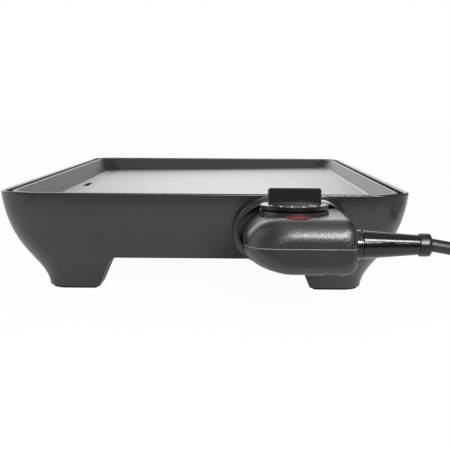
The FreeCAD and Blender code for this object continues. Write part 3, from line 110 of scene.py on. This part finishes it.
def coilPoints(settings, centre):
    # each control point stands half a step past the last, a little outside the turn that it makes
    steps = settings["pointsPerTurn"]
    outside = 1 / math.cos(math.pi / steps)
    points = []
    for i in range(round(steps * (settings["turnsIn"] + settings["turnsOut"]))):
        turn = (i + 0.5) / steps
        angle = 2 * math.pi * turn - math.pi / 2
        radius = coilRadius(settings, turn) * outside
        sunk = min(max((turn - settings["turnsIn"]) / settings["climbTurns"] + 0.5, 0), 1)
        share = (1 - math.cos(math.pi * sunk)) / 2
        height = settings["topLayer"] + (settings["bottomLayer"] - settings["topLayer"]) * share
        points.append((centre[0] + radius * math.cos(angle), centre[1] + radius * math.sin(angle), height))
    return points


def cordPoints(settings):
    exitX, exitY, _ = settings["exit"]
    points = [(exitX + step, exitY, height) for step, height in settings["drop"]]
    # the coil keeps one diameter of straight cord at either end
    centre = (points[-1][0] + settings["diameter"], exitY + settings["outerRadius"])
    points += coilPoints(settings, centre)
    endX = centre[0] + coilRadius(settings, settings["turnsIn"] + settings["turnsOut"])
    endY = centre[1] + settings["diameter"]
    return points + [(endX, endY + step, height) for step, height in settings["rise"]]


def makeCord(settings):
    data = bpy.data.curves.new("powerCord", "CURVE")
    data.dimensions = "3D"
    # the points' own radius gives the thickness, because the curve's box is widened by it
    data.bevel_depth = 1.0
    data.bevel_resolution = settings["roundness"]
    data.resolution_u = settings["smoothness"]
    spline = data.splines.new("NURBS")
    places = cordPoints(settings)
    spline.points.add(len(places) - 1)
    for point, place in zip(spline.points, places):
        point.co = (*place, 1)
        point.radius = settings["diameter"] / 2
    spline.order_u = 3
    spline.use_endpoint_u = True
    spline.use_smooth = True
    thing = bpy.data.objects.new("powerCord", data)
    bpy.context.scene.collection.objects.link(thing)
    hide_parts("power_cord", "cord_coil", "cord_end")
    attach(thing, "control")
    return thing


powerCord = makeCord(cord)
print("cord laid")


# colours and nodes

def linear(code):
    # an sRGB hex colour as the linear colour that the shaders take
    channels = [int(code[i:i + 2], 16) / 255 for i in (1, 3, 5)]
    return tuple(c / 12.92 if c <= 0.04045 else ((c + 0.055) / 1.055) ** 2.4 for c in channels) + (1.0,)


def addNode(tree, kind, settings=None, links=None):
    # one node, its settings by attribute or socket name, its inputs linked by socket name or number
    made = tree.nodes.new(kind)
    for key, value in (settings or {}).items():
        if isinstance(key, str) and hasattr(made, key):
            setattr(made, key, value)
        else:
            made.inputs[key].default_value = value
    for key, source in (links or {}).items():
        tree.links.new(source, made.inputs[key])
    return made


def newMaterial(name):
    material = bpy.data.materials.new(name)
    material.use_nodes = True
    material.node_tree.nodes.clear()
    return material, material.node_tree


def perMm(size):
    # how many times a pattern repeats in a metre, from its real size in millimetres
    return 1000.0 / size


def setMaterial(material, names):
    for name in names:
        nodes[name].data.materials.clear()
        nodes[name].data.materials.append(material)


# a noise's values lie mostly between these, so they are spread out from here
noiseRange = {"From Min": 0.3, "From Max": 0.7}
# where on the grain's noise specks begin and are full, and the same for where a lip's painted highlight is
# strong
speckRange = {"From Min": 0.6, "From Max": 0.78}
lipHighlightBreaks = {"From Min": 0.35, "From Max": 0.6, "To Min": 0.35}
# how far the grain moves the roughness up and down, and its height as a share of its width
mouldedSwing = 0.06
mouldedRelief = 0.25
metalSwing = 0.08
metalRelief = 0.2


def roughnessRange(settings, swing):
    return {**noiseRange, "To Min": settings["roughness"] - swing, "To Max": settings["roughness"] + swing}


def grainHeight(settings, relief):
    return {"Strength": settings["grainDepth"], "Distance": settings["grainMm"] / 1000 * relief}


def mottled(tree, settings):
    # slow clouds of the two colours, with the fine grain's own noise beside them
    place = addNode(tree, "ShaderNodeTexCoord").outputs["Object"]
    cloud = addNode(
        tree, "ShaderNodeTexNoise", {"Scale": perMm(settings["cloudMm"]), "Detail": 3.0}, {"Vector": place}
    )
    grain = addNode(
        tree, "ShaderNodeTexNoise", {"Scale": perMm(settings["grainMm"]), "Detail": 2.0, "Roughness": 0.6},
        {"Vector": place},
    )
    spread = addNode(tree, "ShaderNodeMapRange", noiseRange, {"Value": cloud.outputs["Fac"]})
    tones = {"data_type": "RGBA", 6: linear(settings["dark"]), 7: linear(settings["light"])}
    colour = addNode(tree, "ShaderNodeMix", tones, {0: spread.outputs["Result"]})
    return place, grain.outputs["Fac"], colour.outputs[2]


def mouldedPlastic(name, settings):
    # injection or press moulding: an even body, a fine eroded grain that breaks the gloss, faint flow marks
    material, tree = newMaterial(name)
    place, grain, colour = mottled(tree, settings)
    specks = addNode(
        tree, "ShaderNodeMapRange", {**speckRange, "To Max": settings.get("specks", 0.0)}, {"Value": grain}
    )
    speck = {"data_type": "RGBA", 7: linear(settings.get("speck", settings["light"]))}
    body = addNode(tree, "ShaderNodeMix", speck, {0: specks.outputs["Result"], 6: colour}).outputs[2]
    if "lip" in settings:
        # the edge where two halves meet, with a painted highlight along it that the grain breaks up
        height = addNode(tree, "ShaderNodeSeparateXYZ", {}, {0: place}).outputs["Z"]
        atLip = {"operation": "COMPARE", 1: settings["lipHeight"], 2: settings["lipHalf"]}
        line = addNode(tree, "ShaderNodeMath", atLip, {0: height})
        highlightStrength = addNode(tree, "ShaderNodeMapRange", lipHighlightBreaks, {"Value": grain})
        share = addNode(
            tree, "ShaderNodeMath", {"operation": "MULTIPLY"}, {0: line.outputs[0], 1: highlightStrength.outputs["Result"]}
        )
        lip = {"data_type": "RGBA", 7: linear(settings["lip"])}
        body = addNode(tree, "ShaderNodeMix", lip, {0: share.outputs[0], 6: body}).outputs[2]
    gloss = addNode(
        tree, "ShaderNodeMapRange", roughnessRange(settings, mouldedSwing), {"Value": grain}
    ).outputs["Result"]
    if "beadFrom" in settings:
        # the bead at the tip comes from a blasted part of the tool, so it draws the lights softly
        along = addNode(tree, "ShaderNodeSeparateXYZ", {}, {0: place}).outputs["X"]
        pastStart = {"operation": "GREATER_THAN", 1: settings["beadFrom"]}
        onBead = addNode(tree, "ShaderNodeMath", pastStart, {0: along}).outputs[0]
        soft = {"data_type": "FLOAT", 3: settings["beadRoughness"]}
        gloss = addNode(tree, "ShaderNodeMix", soft, {0: onBead, 2: gloss}).outputs[0]
    bump = addNode(tree, "ShaderNodeBump", grainHeight(settings, mouldedRelief), {"Height": grain})
    shader = addNode(
        tree, "ShaderNodeBsdfPrincipled", {"IOR": settings.get("ior", 1.5)},
        {"Base Color": body, "Roughness": gloss, "Normal": bump.outputs["Normal"]},
    )
    addNode(tree, "ShaderNodeOutputMaterial", {}, {"Surface": shader.outputs["BSDF"]})
    return material


def workedMetal(name, settings):
    # worked metal: the metal's own colour with a faint cloudiness, and roughness from how it was worked
    material, tree = newMaterial(name)
    _, grain, colour = mottled(tree, settings)
    rough = addNode(tree, "ShaderNodeMapRange", roughnessRange(settings, metalSwing), {"Value": grain})
    bump = addNode(tree, "ShaderNodeBump", grainHeight(settings, metalRelief), {"Height": grain})
    shader = addNode(
        tree, "ShaderNodeBsdfPrincipled", {"Metallic": 1.0},
        {"Base Color": colour, "Roughness": rough.outputs["Result"], "Normal": bump.outputs["Normal"]},
    )
    addNode(tree, "ShaderNodeOutputMaterial", {}, {"Surface": shader.outputs["BSDF"]})
    return material


# the strain relief's last stretch, which ends where the cord leaves it
beadLength = 0.0077

# plastics, rubbers, board and glazed ceramic; a tool's grain is really 0.1 to 0.3 mm across, too fine
# to show, so it is drawn at 0.6 to 0.9 mm, and the smooth finishes have slow waves of 1.5 to 3 mm instead
mouldings = {
    # mineral-filled thermoset, pressed in an eroded tool: a satin charcoal with a fine sandy grain
    "pressedPhenolic": {
        "dark": "#181819", "light": "#1d1d1e", "speck": "#363637", "specks": 0.2,
        "roughness": 0.29, "ior": 1.65,
        "grainMm": 0.8, "grainDepth": 0.14, "cloudMm": 60, "on": ["housing", "drip_tray"],
    },
    # glass-filled nylon, injected in a coarse-grained tool: gloss that breaks up into sparkling grains
    "grainedNylon": {
        "dark": "#222223", "light": "#272728", "roughness": 0.29, "ior": 1.65,
        "grainMm": 0.7, "grainDepth": 0.7, "cloudMm": 30,
        # a painted highlight along the lip where the shells meet: its colour, then the lip's height over the
        # table and half its own height, in metres
        "lip": "#a9a9a0", "lipHeight": 0.0481, "lipHalf": 0.00026,
        "on": ["control_upper_shell", "control_lower_shell"],
    },
    # the same nylon from a smoother tool: an even satin black
    "satinNylon": {
        "dark": "#111112", "light": "#151516", "roughness": 0.27, "ior": 1.45,
        "grainMm": 0.6, "grainDepth": 0.2, "cloudMm": 20, "on": ["dial_knob"],
    },
    # soft vinyl from a polished tool: near black and wet-looking, so it draws the lights as long streaks
    "polishedVinyl": {
        "dark": "#0e0e0f", "light": "#131314", "roughness": 0.14,
        "grainMm": 3.0, "grainDepth": 0.02, "cloudMm": 20, "on": ["strain_relief"],
        "beadFrom": cord["exit"][0] - beadLength, "beadRoughness": 0.3,
    },
    # vinyl moulded round the plug's blades: satin, with a light grain for grip
    "plugVinyl": {
        "dark": "#171717", "light": "#1d1d1d", "roughness": 0.42,
        "grainMm": 0.7, "grainDepth": 0.3, "cloudMm": 12, "on": ["plug_body"],
    },
    # silicone rubber pads: matt, a little dusty
    "matRubber": {
        "dark": "#141414", "light": "#1f1f1f", "roughness": 0.72,
        "grainMm": 0.6, "grainDepth": 0.4, "cloudMm": 9, "on": ["foot_pads"],
    },
    # phenolic that stands the heat beside the terminals: matt, nearly black, slightly chalky
    "heatPhenolic": {
        "dark": "#151413", "light": "#201e1c", "speck": "#3a3733", "specks": 0.4, "roughness": 0.6,
        "grainMm": 0.7, "grainDepth": 0.35, "cloudMm": 14, "on": ["terminal_guard", "contact_block"],
    },
    # pressed mineral board: pale grey-brown, with fibres that show as flecks
    "pressedBoard": {
        "dark": "#8a8274", "light": "#a79f90", "speck": "#cfc8b8", "specks": 0.8, "roughness": 0.85,
        "grainMm": 0.9, "grainDepth": 0.6, "cloudMm": 6, "on": ["plate_spacers"],
    },
    # glazed steatite: off-white, smooth, with a faint warm mottle from the firing
    "glazedSteatite": {
        "dark": "#d9d2c4", "light": "#e9e4d9", "roughness": 0.25, "ior": 1.55,
        "grainMm": 1.5, "grainDepth": 0.08, "cloudMm": 5, "on": ["terminal_insulators", "switch_stack"],
    },
}

# rolled, drawn and plated metals; their marks are really hundredths of a millimetre across, too fine
# to show, and are drawn at 0.5 to 1.6 mm
metals = {
    # the element's sheath: nickel alloy that has been red hot, dull brown-grey with bluish clouds
    "heatedSheath": {
        "dark": "#4d4641", "light": "#6d6a6c", "roughness": 0.5,
        "grainMm": 0.8, "grainDepth": 0.3, "cloudMm": 18, "on": ["heating_element"],
    },
    # zinc-plated sheet: cool grey with a soft sheen and slight blotches from the bath
    "zincSheet": {
        "dark": "#9a9da0", "light": "#b4b6b8", "roughness": 0.36,
        "grainMm": 1.2, "grainDepth": 0.12, "cloudMm": 14,
        "on": ["element_clamps", "tray_rails", "thermostat_frame"],
    },
    # bright nickel plate on drawn rod: smooth and slightly warm
    "nickelPlate": {
        "dark": "#b3ada2", "light": "#c8c2b6", "roughness": 0.2,
        "grainMm": 1.5, "grainDepth": 0.05, "cloudMm": 10,
        "on": ["terminal_pins", "probe_sleeve", "probe_rod"],
    },
    # headed and passivated screw steel: grey, with tool marks that blur its gloss
    "screwSteel": {
        "dark": "#85878a", "light": "#a3a4a5", "roughness": 0.34,
        "grainMm": 0.5, "grainDepth": 0.2, "cloudMm": 3,
        "on": ["guard_screws", "plate_screws", "rail_screws", "control_screws", "dial_shaft"],
    },
    # aluminised steel: pale, half-matt, with the coating's soft spangle
    "aluminisedSheet": {
        "dark": "#a5a6a6", "light": "#c4c5c5", "roughness": 0.4,
        "grainMm": 1.6, "grainDepth": 0.12, "cloudMm": 8, "on": ["heat_reflector"],
    },
    # stamped brass: yellow, satin from the rolls, darker where it has been handled
    "stampedBrass": {
        "dark": "#a4823f", "light": "#c4a45c", "roughness": 0.28,
        "grainMm": 0.8, "grainDepth": 0.1, "cloudMm": 6,
        "on": ["contact_sleeves", "switch_leaves", "plug_blades", "plug_ground_pin"],
    },
}
for name, settings in mouldings.items():
    setMaterial(mouldedPlastic(name, settings), settings["on"])
for name, settings in metals.items():
    setMaterial(workedMetal(name, settings), settings["on"])
print("mouldings and metals ready")


# the griddle's coating: sprayed and baked fluoropolymer on cast aluminium
coating = {
    "dark": "#242424", "light": "#2b2b2a", "ior": 1.5, "grainMm": 0.9, "cloudMm": 45,
    "floorRoughness": 0.3, "wallRoughness": 0.42,
    "levelFrom": 0.72, "levelFull": 0.97,  # how level a face is where the floor's finish begins and is full
    "uneven": (0.85, 1.15),                # the least and most that the grain makes of the roughness
    "orangePeelMm": 1.6, "peelStrength": 0.12, "peelRelief": 0.1,
    "on": ["griddle_plate"],
}


def bakedCoating(name, settings):
    # a dark film that is dull from above and turns bright at a low angle, over the casting's faint unevenness
    material, tree = newMaterial(name)
    place, grain, colour = mottled(tree, settings)
    waves = {"Scale": perMm(settings["orangePeelMm"]), "Detail": 1.0}
    peel = addNode(tree, "ShaderNodeTexNoise", waves, {"Vector": place})
    # the flat floor and rim are blasted finer than the walls, which keep the rough of the casting
    facing = addNode(tree, "ShaderNodeTexCoord").outputs["Normal"]
    upward = addNode(tree, "ShaderNodeSeparateXYZ", {}, {0: facing}).outputs["Z"]
    finish = addNode(
        tree, "ShaderNodeMapRange",
        {
            "From Min": settings["levelFrom"], "From Max": settings["levelFull"],
            "To Min": settings["wallRoughness"], "To Max": settings["floorRoughness"],
        },
        {"Value": upward},
    )
    least, most = settings["uneven"]
    uneven = addNode(
        tree, "ShaderNodeMapRange", {**noiseRange, "To Min": least, "To Max": most}, {"Value": grain}
    )
    rough = addNode(
        tree, "ShaderNodeMath", {"operation": "MULTIPLY"},
        {0: finish.outputs["Result"], 1: uneven.outputs["Result"]},
    )
    height = settings["orangePeelMm"] / 1000 * settings["peelRelief"]
    bump = addNode(
        tree, "ShaderNodeBump", {"Strength": settings["peelStrength"], "Distance": height},
        {"Height": peel.outputs["Fac"]},
    )
    shader = addNode(
        tree, "ShaderNodeBsdfPrincipled", {"IOR": settings["ior"]},
        {"Base Color": colour, "Roughness": rough.outputs[0], "Normal": bump.outputs["Normal"]},
    )
    addNode(tree, "ShaderNodeOutputMaterial", {}, {"Surface": shader.outputs["BSDF"]})
    return material


setMaterial(bakedCoating("bakedFluoropolymer", coating), coating["on"])


# the pilot lamp and its lens
lens = {
    "edge": "#5c0205", "middle": "#a4060e", "ior": 1.49, "roughness": 0.5, "specular": 0.12, "through": 0.1,
    "reachMm": 7.0,    # from the middle to where the colour is the edge's
    "facetMm": 2.762,  # a real prism is about half as wide, too fine to show
    "facetStrength": 0.25, "facetHeightMm": 0.2,
}
lamp = {
    "glass": "#c9a08c", "ior": 1.5, "roughness": 0.08, "through": 0.8,
    "waveMm": 2.0, "waveStrength": 0.1, "waveHeightMm": 0.2,
}
waveTurns = 20 / (2 * math.pi)  # how often Blender's wave texture repeats at a scale of one


def tintedAcrylic(name, settings):
    # red acrylic with a prismatic back and a frosted face: deep at its ends, lighter over the lamp,
    # and with hardly a gloss
    material, tree = newMaterial(name)
    low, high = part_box("pilot_lens")
    middle = (low + high) / 2
    place = addNode(tree, "ShaderNodeTexCoord").outputs["Object"]
    reach = addNode(tree, "ShaderNodeVectorMath", {"operation": "DISTANCE", 1: middle}, {0: place})
    share = addNode(
        tree, "ShaderNodeMapRange", {"From Min": settings["reachMm"] / 1000, "From Max": 0.0},
        {"Value": reach.outputs["Value"]},
    )
    tones = {"data_type": "RGBA", 6: linear(settings["edge"]), 7: linear(settings["middle"])}
    colour = addNode(tree, "ShaderNodeMix", tones, {0: share.outputs["Result"]})
    prisms = {"Scale": perMm(settings["facetMm"]) / waveTurns, "bands_direction": "X"}
    facets = addNode(tree, "ShaderNodeTexWave", prisms, {"Vector": place})
    bump = addNode(
        tree, "ShaderNodeBump",
        {"Strength": settings["facetStrength"], "Distance": settings["facetHeightMm"] / 1000},
        {"Height": facets.outputs["Fac"]},
    )
    shader = addNode(
        tree, "ShaderNodeBsdfPrincipled",
        {
            "IOR": settings["ior"], "Roughness": settings["roughness"],
            "Specular IOR Level": settings["specular"], "Transmission Weight": settings["through"],
        },
        {"Base Color": colour.outputs[2], "Normal": bump.outputs["Normal"]},
    )
    addNode(tree, "ShaderNodeOutputMaterial", {}, {"Surface": shader.outputs["BSDF"]})
    return material


def blownGlass(name, settings):
    # a neon lamp's bulb: clear glass, warm from the electrodes inside, slightly uneven
    material, tree = newMaterial(name)
    place = addNode(tree, "ShaderNodeTexCoord").outputs["Object"]
    wobble = addNode(tree, "ShaderNodeTexNoise", {"Scale": perMm(settings["waveMm"])}, {"Vector": place})
    bump = addNode(
        tree, "ShaderNodeBump",
        {"Strength": settings["waveStrength"], "Distance": settings["waveHeightMm"] / 1000},
        {"Height": wobble.outputs["Fac"]},
    )
    shader = addNode(
        tree, "ShaderNodeBsdfPrincipled",
        {
            "Base Color": linear(settings["glass"]), "IOR": settings["ior"],
            "Roughness": settings["roughness"], "Transmission Weight": settings["through"],
        },
        {"Normal": bump.outputs["Normal"]},
    )
    addNode(tree, "ShaderNodeOutputMaterial", {}, {"Surface": shader.outputs["BSDF"]})
    return material


setMaterial(tintedAcrylic("tintedAcrylic", lens), ["pilot_lens"])
setMaterial(blownGlass("blownGlass", lamp), ["pilot_lamp"])


# the cord's sheath: extruded vinyl, drawn smooth, so it is an even satin black with a soft highlight
sheath = {
    "dark": "#1b1b1c", "light": "#212122", "roughness": 0.36,
    "grainMm": 3.0, "grainDepth": 0.01, "cloudMm": 25,
}
powerCord.data.materials.append(mouldedPlastic("extrudedVinyl", sheath))
print("coating, lens and cord ready")


# marks on the dial and the control: thin printed ink, drawn as discs and dashes that lie on the plastic,
# in metres and degrees
marks = {
    "radius": 0.0208, "first": -134.0, "step": 21.1, "count": 14, "dash": 8, "dotRadius": 0.00078,
    "dashLength": 0.0042, "dashWidth": 0.0007, "inkThickness": 0.00008, "ink": ("#e6e6e2", "#f8f8f6"),
    "index": (0.0902, -0.2395), "indexLength": 0.0042, "indexWidth": 0.0008,
    "indexInk": ("#0e0e0f", "#161617"),
}


def surfaceUnder(node, x, y):
    # where a plumb line, let down from a metre over the table, meets the node, and the normal there
    _, place, normal, _ = nodes[node].ray_cast((x, y, 1.0), (0.0, 0.0, -1.0))
    return place, normal


def addPad(mesh, node, x, y, outline, thickness):
    # a flat pad of ink with the given outline round x, y, laid on the node's surface
    place, normal = surfaceUnder(node, x, y)
    turn = normal.to_track_quat("Z", "Y").to_matrix()
    flat = turn @ Vector((1, 0, 0))
    side = turn @ Vector((0, 1, 0))
    low = [mesh.verts.new(place + flat * u + side * v - normal * thickness) for u, v in outline]
    high = [mesh.verts.new(place + flat * u + side * v + normal * thickness) for u, v in outline]
    mesh.faces.new(low[::-1])
    mesh.faces.new(high)
    for i in range(len(outline)):
        j = (i + 1) % len(outline)
        mesh.faces.new((low[i], low[j], high[j], high[i]))


def roundPad(radius, sides=16):
    turns = [2 * math.pi * i / sides for i in range(sides)]
    return [(radius * math.cos(turn), radius * math.sin(turn)) for turn in turns]


def barPad(length, width, angle):
    # a bar along the given direction in the pad's own plane
    along = Vector((math.cos(angle), math.sin(angle)))
    across = Vector((-along.y, along.x))
    corners = [(-1, -1), (1, -1), (1, 1), (-1, 1)]
    return [tuple(along * a * length / 2 + across * b * width / 2) for a, b in corners]


def padObject(name, mesh, ink, body):
    data = bpy.data.meshes.new(name)
    mesh.to_mesh(data)
    mesh.free()
    thing = bpy.data.objects.new(name, data)
    bpy.context.scene.collection.objects.link(thing)
    # pad-printed ink: matt, a little thinner and darker in places
    dark, light = ink
    settings = {
        "dark": dark, "light": light, "roughness": 0.5, "grainMm": 0.3, "grainDepth": 0.3, "cloudMm": 2.0,
    }
    data.materials.append(mouldedPlastic(name + "Ink", settings))
    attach(thing, body)


def makeDialMarks(settings):
    low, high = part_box("dial_knob")
    centre = (low + high) / 2
    mesh = bmesh.new()
    for i in range(settings["count"]):
        angle = math.radians(settings["first"] + settings["step"] * i - 90)
        reach = settings["radius"]
        outline = roundPad(settings["dotRadius"])
        if i == settings["dash"]:
            outline = barPad(settings["dashLength"], settings["dashWidth"], angle)
            reach -= settings["dashLength"] / 2 - settings["dotRadius"]
        x = centre.x + reach * math.cos(angle)
        y = centre.y + reach * math.sin(angle)
        addPad(mesh, "dial_knob", x, y, outline, settings["inkThickness"])
    padObject("dialMarks", mesh, settings["ink"], "dial")


def makeIndexMark(settings):
    mesh = bmesh.new()
    x, y = settings["index"]
    outline = barPad(settings["indexLength"], settings["indexWidth"], 0.0)
    addPad(mesh, "control_upper_shell", x, y, outline, settings["inkThickness"])
    padObject("indexMark", mesh, settings["indexInk"], "control")


makeDialMarks(marks)
makeIndexMark(marks)
print("marks laid")


# stage and light: white paper underfoot and behind, soft panels round it, and a dark room in between
studio = {
    "paper": "#f2f2f2",
    "shade": "#242424",           # what lies before the paper's front edge
    "floorReach": 8.0,            # half the floor's side
    "floorDrop": 0.0004,          # how far the floor lies under the pads
    "frontEdge": (-0.48, -0.30),  # where the paper fades in, seen from the front
    # shares of plain white on the floor: for the camera, where the rest takes the shadow, and for gloss
    # and glass, less before the body's left half than at either side of it, as painted shade for the body's
    # shadow
    "floorSeen": 0.97,
    "mirroredInPaintedShade": 0.22,
    "mirroredAside": 1.0,
    "middleX": -0.05,
    "asideEdge": (0.06, 0.18),    # how far from middleX the change begins and is done
    "room": 0.05,                 # how light the room is where no panel stands
}
# each panel: which way it stands, how far from its middle it is full and where it has faded, its level
panels = [
    {"towards": (0.0, 1.0, 0.07), "full": 0.05, "gone": 0.25, "level": 1.9},
    {"towards": (-0.3, 0.94, 0.14), "full": 0.05, "gone": 0.3, "level": 1.2},
    {"towards": (0.0, 0.9, 0.42), "full": 0.1, "gone": 0.35, "level": 2.5},
    {"towards": (-0.5, 0.8, 0.35), "full": 0.1, "gone": 0.35, "level": 2.2},
    {"towards": (0.0, 0.64, 0.77), "full": 0.1, "gone": 0.45, "level": 1.1},
    {"towards": (0.0, 0.0, 1.0), "full": 0.1, "gone": 0.5, "level": 0.8},
    {"towards": (0.34, 0.94, 0.03), "full": 0.05, "gone": 0.3, "level": 0.8},
    {"towards": (-1.0, 0.0, 0.1), "full": 0.1, "gone": 0.5, "level": 1.2},
    {"towards": (-0.77, 0.64, 0.1), "full": 0.1, "gone": 0.4, "level": 1.1},
    {"towards": (-0.77, 0.0, 0.64), "full": 0.1, "gone": 0.45, "level": 1.4},
    {"towards": (-0.77, -0.64, 0.15), "full": 0.1, "gone": 0.45, "level": 0.5},
    {"towards": (1.0, 0.0, 0.1), "full": 0.1, "gone": 0.5, "level": 0.6},
    {"towards": (0.77, 0.64, 0.1), "full": 0.1, "gone": 0.4, "level": 0.3},
    {"towards": (0.77, 0.0, 0.64), "full": 0.1, "gone": 0.45, "level": 0.3},
    {"towards": (0.0, -1.0, 0.1), "full": 0.1, "gone": 0.4, "level": 0.5},
    {"towards": (0.0, -0.5, 0.87), "full": 0.1, "gone": 0.4, "level": 1.5},
]
# the first gives the control its highlight, the second the streak along the strain relief
keyBox = {"place": (0.3, -1.35, 0.62), "aim": (0.06, -0.25, 0.05), "size": (0.28, 0.26), "power": 12.5}
streakBox = {"place": (0.56, -1.2, 1.02), "aim": (0.12, -0.25, 0.05), "size": (0.3, 0.36), "power": 7.5}


def fade(tree, value, start, end, low, high):
    # low up to start, high from end on, and a smooth change between them
    settings = {
        "interpolation_type": "SMOOTHSTEP", "From Min": start, "From Max": end, "To Min": low, "To Max": high,
    }
    return addNode(tree, "ShaderNodeMapRange", settings, {"Value": value}).outputs["Result"]


def rayShare(tree, seen, mirrored):
    # one share for what the camera sees, another for gloss and glass, none for the rest
    path = addNode(tree, "ShaderNodeLightPath")
    gloss = addNode(
        tree, "ShaderNodeMath", {"operation": "MAXIMUM"},
        {0: path.outputs["Is Glossy Ray"], 1: path.outputs["Is Transmission Ray"]},
    )
    forGloss = addNode(tree, "ShaderNodeMath", {"operation": "MULTIPLY"}, {0: gloss.outputs[0], 1: mirrored})
    forCamera = addNode(
        tree, "ShaderNodeMath", {"operation": "MULTIPLY", 1: seen}, {0: path.outputs["Is Camera Ray"]}
    )
    return addNode(
        tree, "ShaderNodeMath", {"operation": "MAXIMUM"}, {0: forGloss.outputs[0], 1: forCamera.outputs[0]}
    ).outputs[0]


def makeFloor(settings):
    reach = settings["floorReach"]
    mesh = bpy.data.meshes.new("floor")
    corners = [(-reach, -reach), (reach, -reach), (reach, reach), (-reach, reach)]
    mesh.from_pydata([(x, y, -settings["floorDrop"]) for x, y in corners], [], [(0, 1, 2, 3)])
    floor = bpy.data.objects.new("floor", mesh)
    bpy.context.scene.collection.objects.link(floor)
    material, tree = newMaterial("paperSweep")
    place = addNode(tree, "ShaderNodeTexCoord").outputs["Object"]
    axes = addNode(tree, "ShaderNodeSeparateXYZ", {}, {0: place})
    onPaper = fade(tree, axes.outputs["Y"], *settings["frontEdge"], 0.0, 1.0)
    # the camera sees one even sheet
    seen = addNode(tree, "ShaderNodeLightPath").outputs["Is Camera Ray"]
    whole = addNode(tree, "ShaderNodeMath", {"operation": "MAXIMUM"}, {0: onPaper, 1: seen})
    tones = {"data_type": "RGBA", 6: linear(settings["shade"]), 7: linear(settings["paper"])}
    colour = addNode(tree, "ShaderNodeMix", tones, {0: whole.outputs[0]})
    paper = addNode(tree, "ShaderNodeBsdfDiffuse", {}, {"Color": colour.outputs[2]})
    white = addNode(tree, "ShaderNodeEmission", {"Color": (1, 1, 1, 1), "Strength": 1.0})
    # painted shade: gloss and glass see less white on the floor before the body's left half, in place of its
    # shadow
    fromMiddle = {"operation": "SUBTRACT", 1: settings["middleX"]}
    across = addNode(tree, "ShaderNodeMath", fromMiddle, {0: axes.outputs["X"]})
    aside = addNode(tree, "ShaderNodeMath", {"operation": "ABSOLUTE"}, {0: across.outputs[0]})
    mirroredWithPaintedShade = fade(
        tree, aside.outputs[0], *settings["asideEdge"], settings["mirroredInPaintedShade"], settings["mirroredAside"]
    )
    mirrored = addNode(tree, "ShaderNodeMath", {"operation": "MULTIPLY"}, {0: mirroredWithPaintedShade, 1: onPaper})
    share = rayShare(tree, settings["floorSeen"], mirrored.outputs[0])
    sheet = addNode(tree, "ShaderNodeMixShader", {}, {0: share, 1: paper.outputs[0], 2: white.outputs[0]})
    addNode(tree, "ShaderNodeOutputMaterial", {}, {"Surface": sheet.outputs[0]})
    mesh.materials.append(material)


def makeWorld(settings, panels):
    world = bpy.data.worlds.new("studio")
    bpy.context.scene.world = world
    world.use_nodes = True
    tree = world.node_tree
    tree.nodes.clear()
    towards = addNode(tree, "ShaderNodeTexCoord").outputs["Generated"]
    level = addNode(tree, "ShaderNodeValue").outputs[0]
    level.default_value = settings["room"]
    for panel in panels:
        middle = Vector(panel["towards"]).normalized()
        away = addNode(tree, "ShaderNodeVectorMath", {"operation": "DISTANCE", 1: middle}, {0: towards})
        glow = fade(tree, away.outputs["Value"], panel["full"], panel["gone"], panel["level"], 0.0)
        level = addNode(tree, "ShaderNodeMath", {"operation": "ADD"}, {0: glow, 1: level}).outputs[0]
    # the camera and glass see plain white behind the object
    path = addNode(tree, "ShaderNodeLightPath")
    white = addNode(
        tree, "ShaderNodeMath", {"operation": "MAXIMUM"},
        {0: path.outputs["Is Camera Ray"], 1: path.outputs["Is Transmission Ray"]},
    )
    shown = addNode(tree, "ShaderNodeMix", {"data_type": "FLOAT", 3: 1.0}, {0: white.outputs[0], 2: level})
    light = addNode(tree, "ShaderNodeBackground", {"Color": (1, 1, 1, 1)}, {"Strength": shown.outputs[0]})
    addNode(tree, "ShaderNodeOutputWorld", {}, {"Surface": light.outputs[0]})


def softbox(name, settings):
    data = bpy.data.lights.new(name, "AREA")
    data.shape = "RECTANGLE"
    data.size, data.size_y = settings["size"]
    data.energy = settings["power"]
    box = bpy.data.objects.new(name, data)
    bpy.context.scene.collection.objects.link(box)
    box.location = settings["place"]
    towards = Vector(settings["aim"]) - Vector(settings["place"])
    box.rotation_euler = towards.to_track_quat("-Z", "Y").to_euler()


makeFloor(studio)
makeWorld(studio, panels)
softbox("keyBox", keyBox)
softbox("streakBox", streakBox)
print("stage ready")
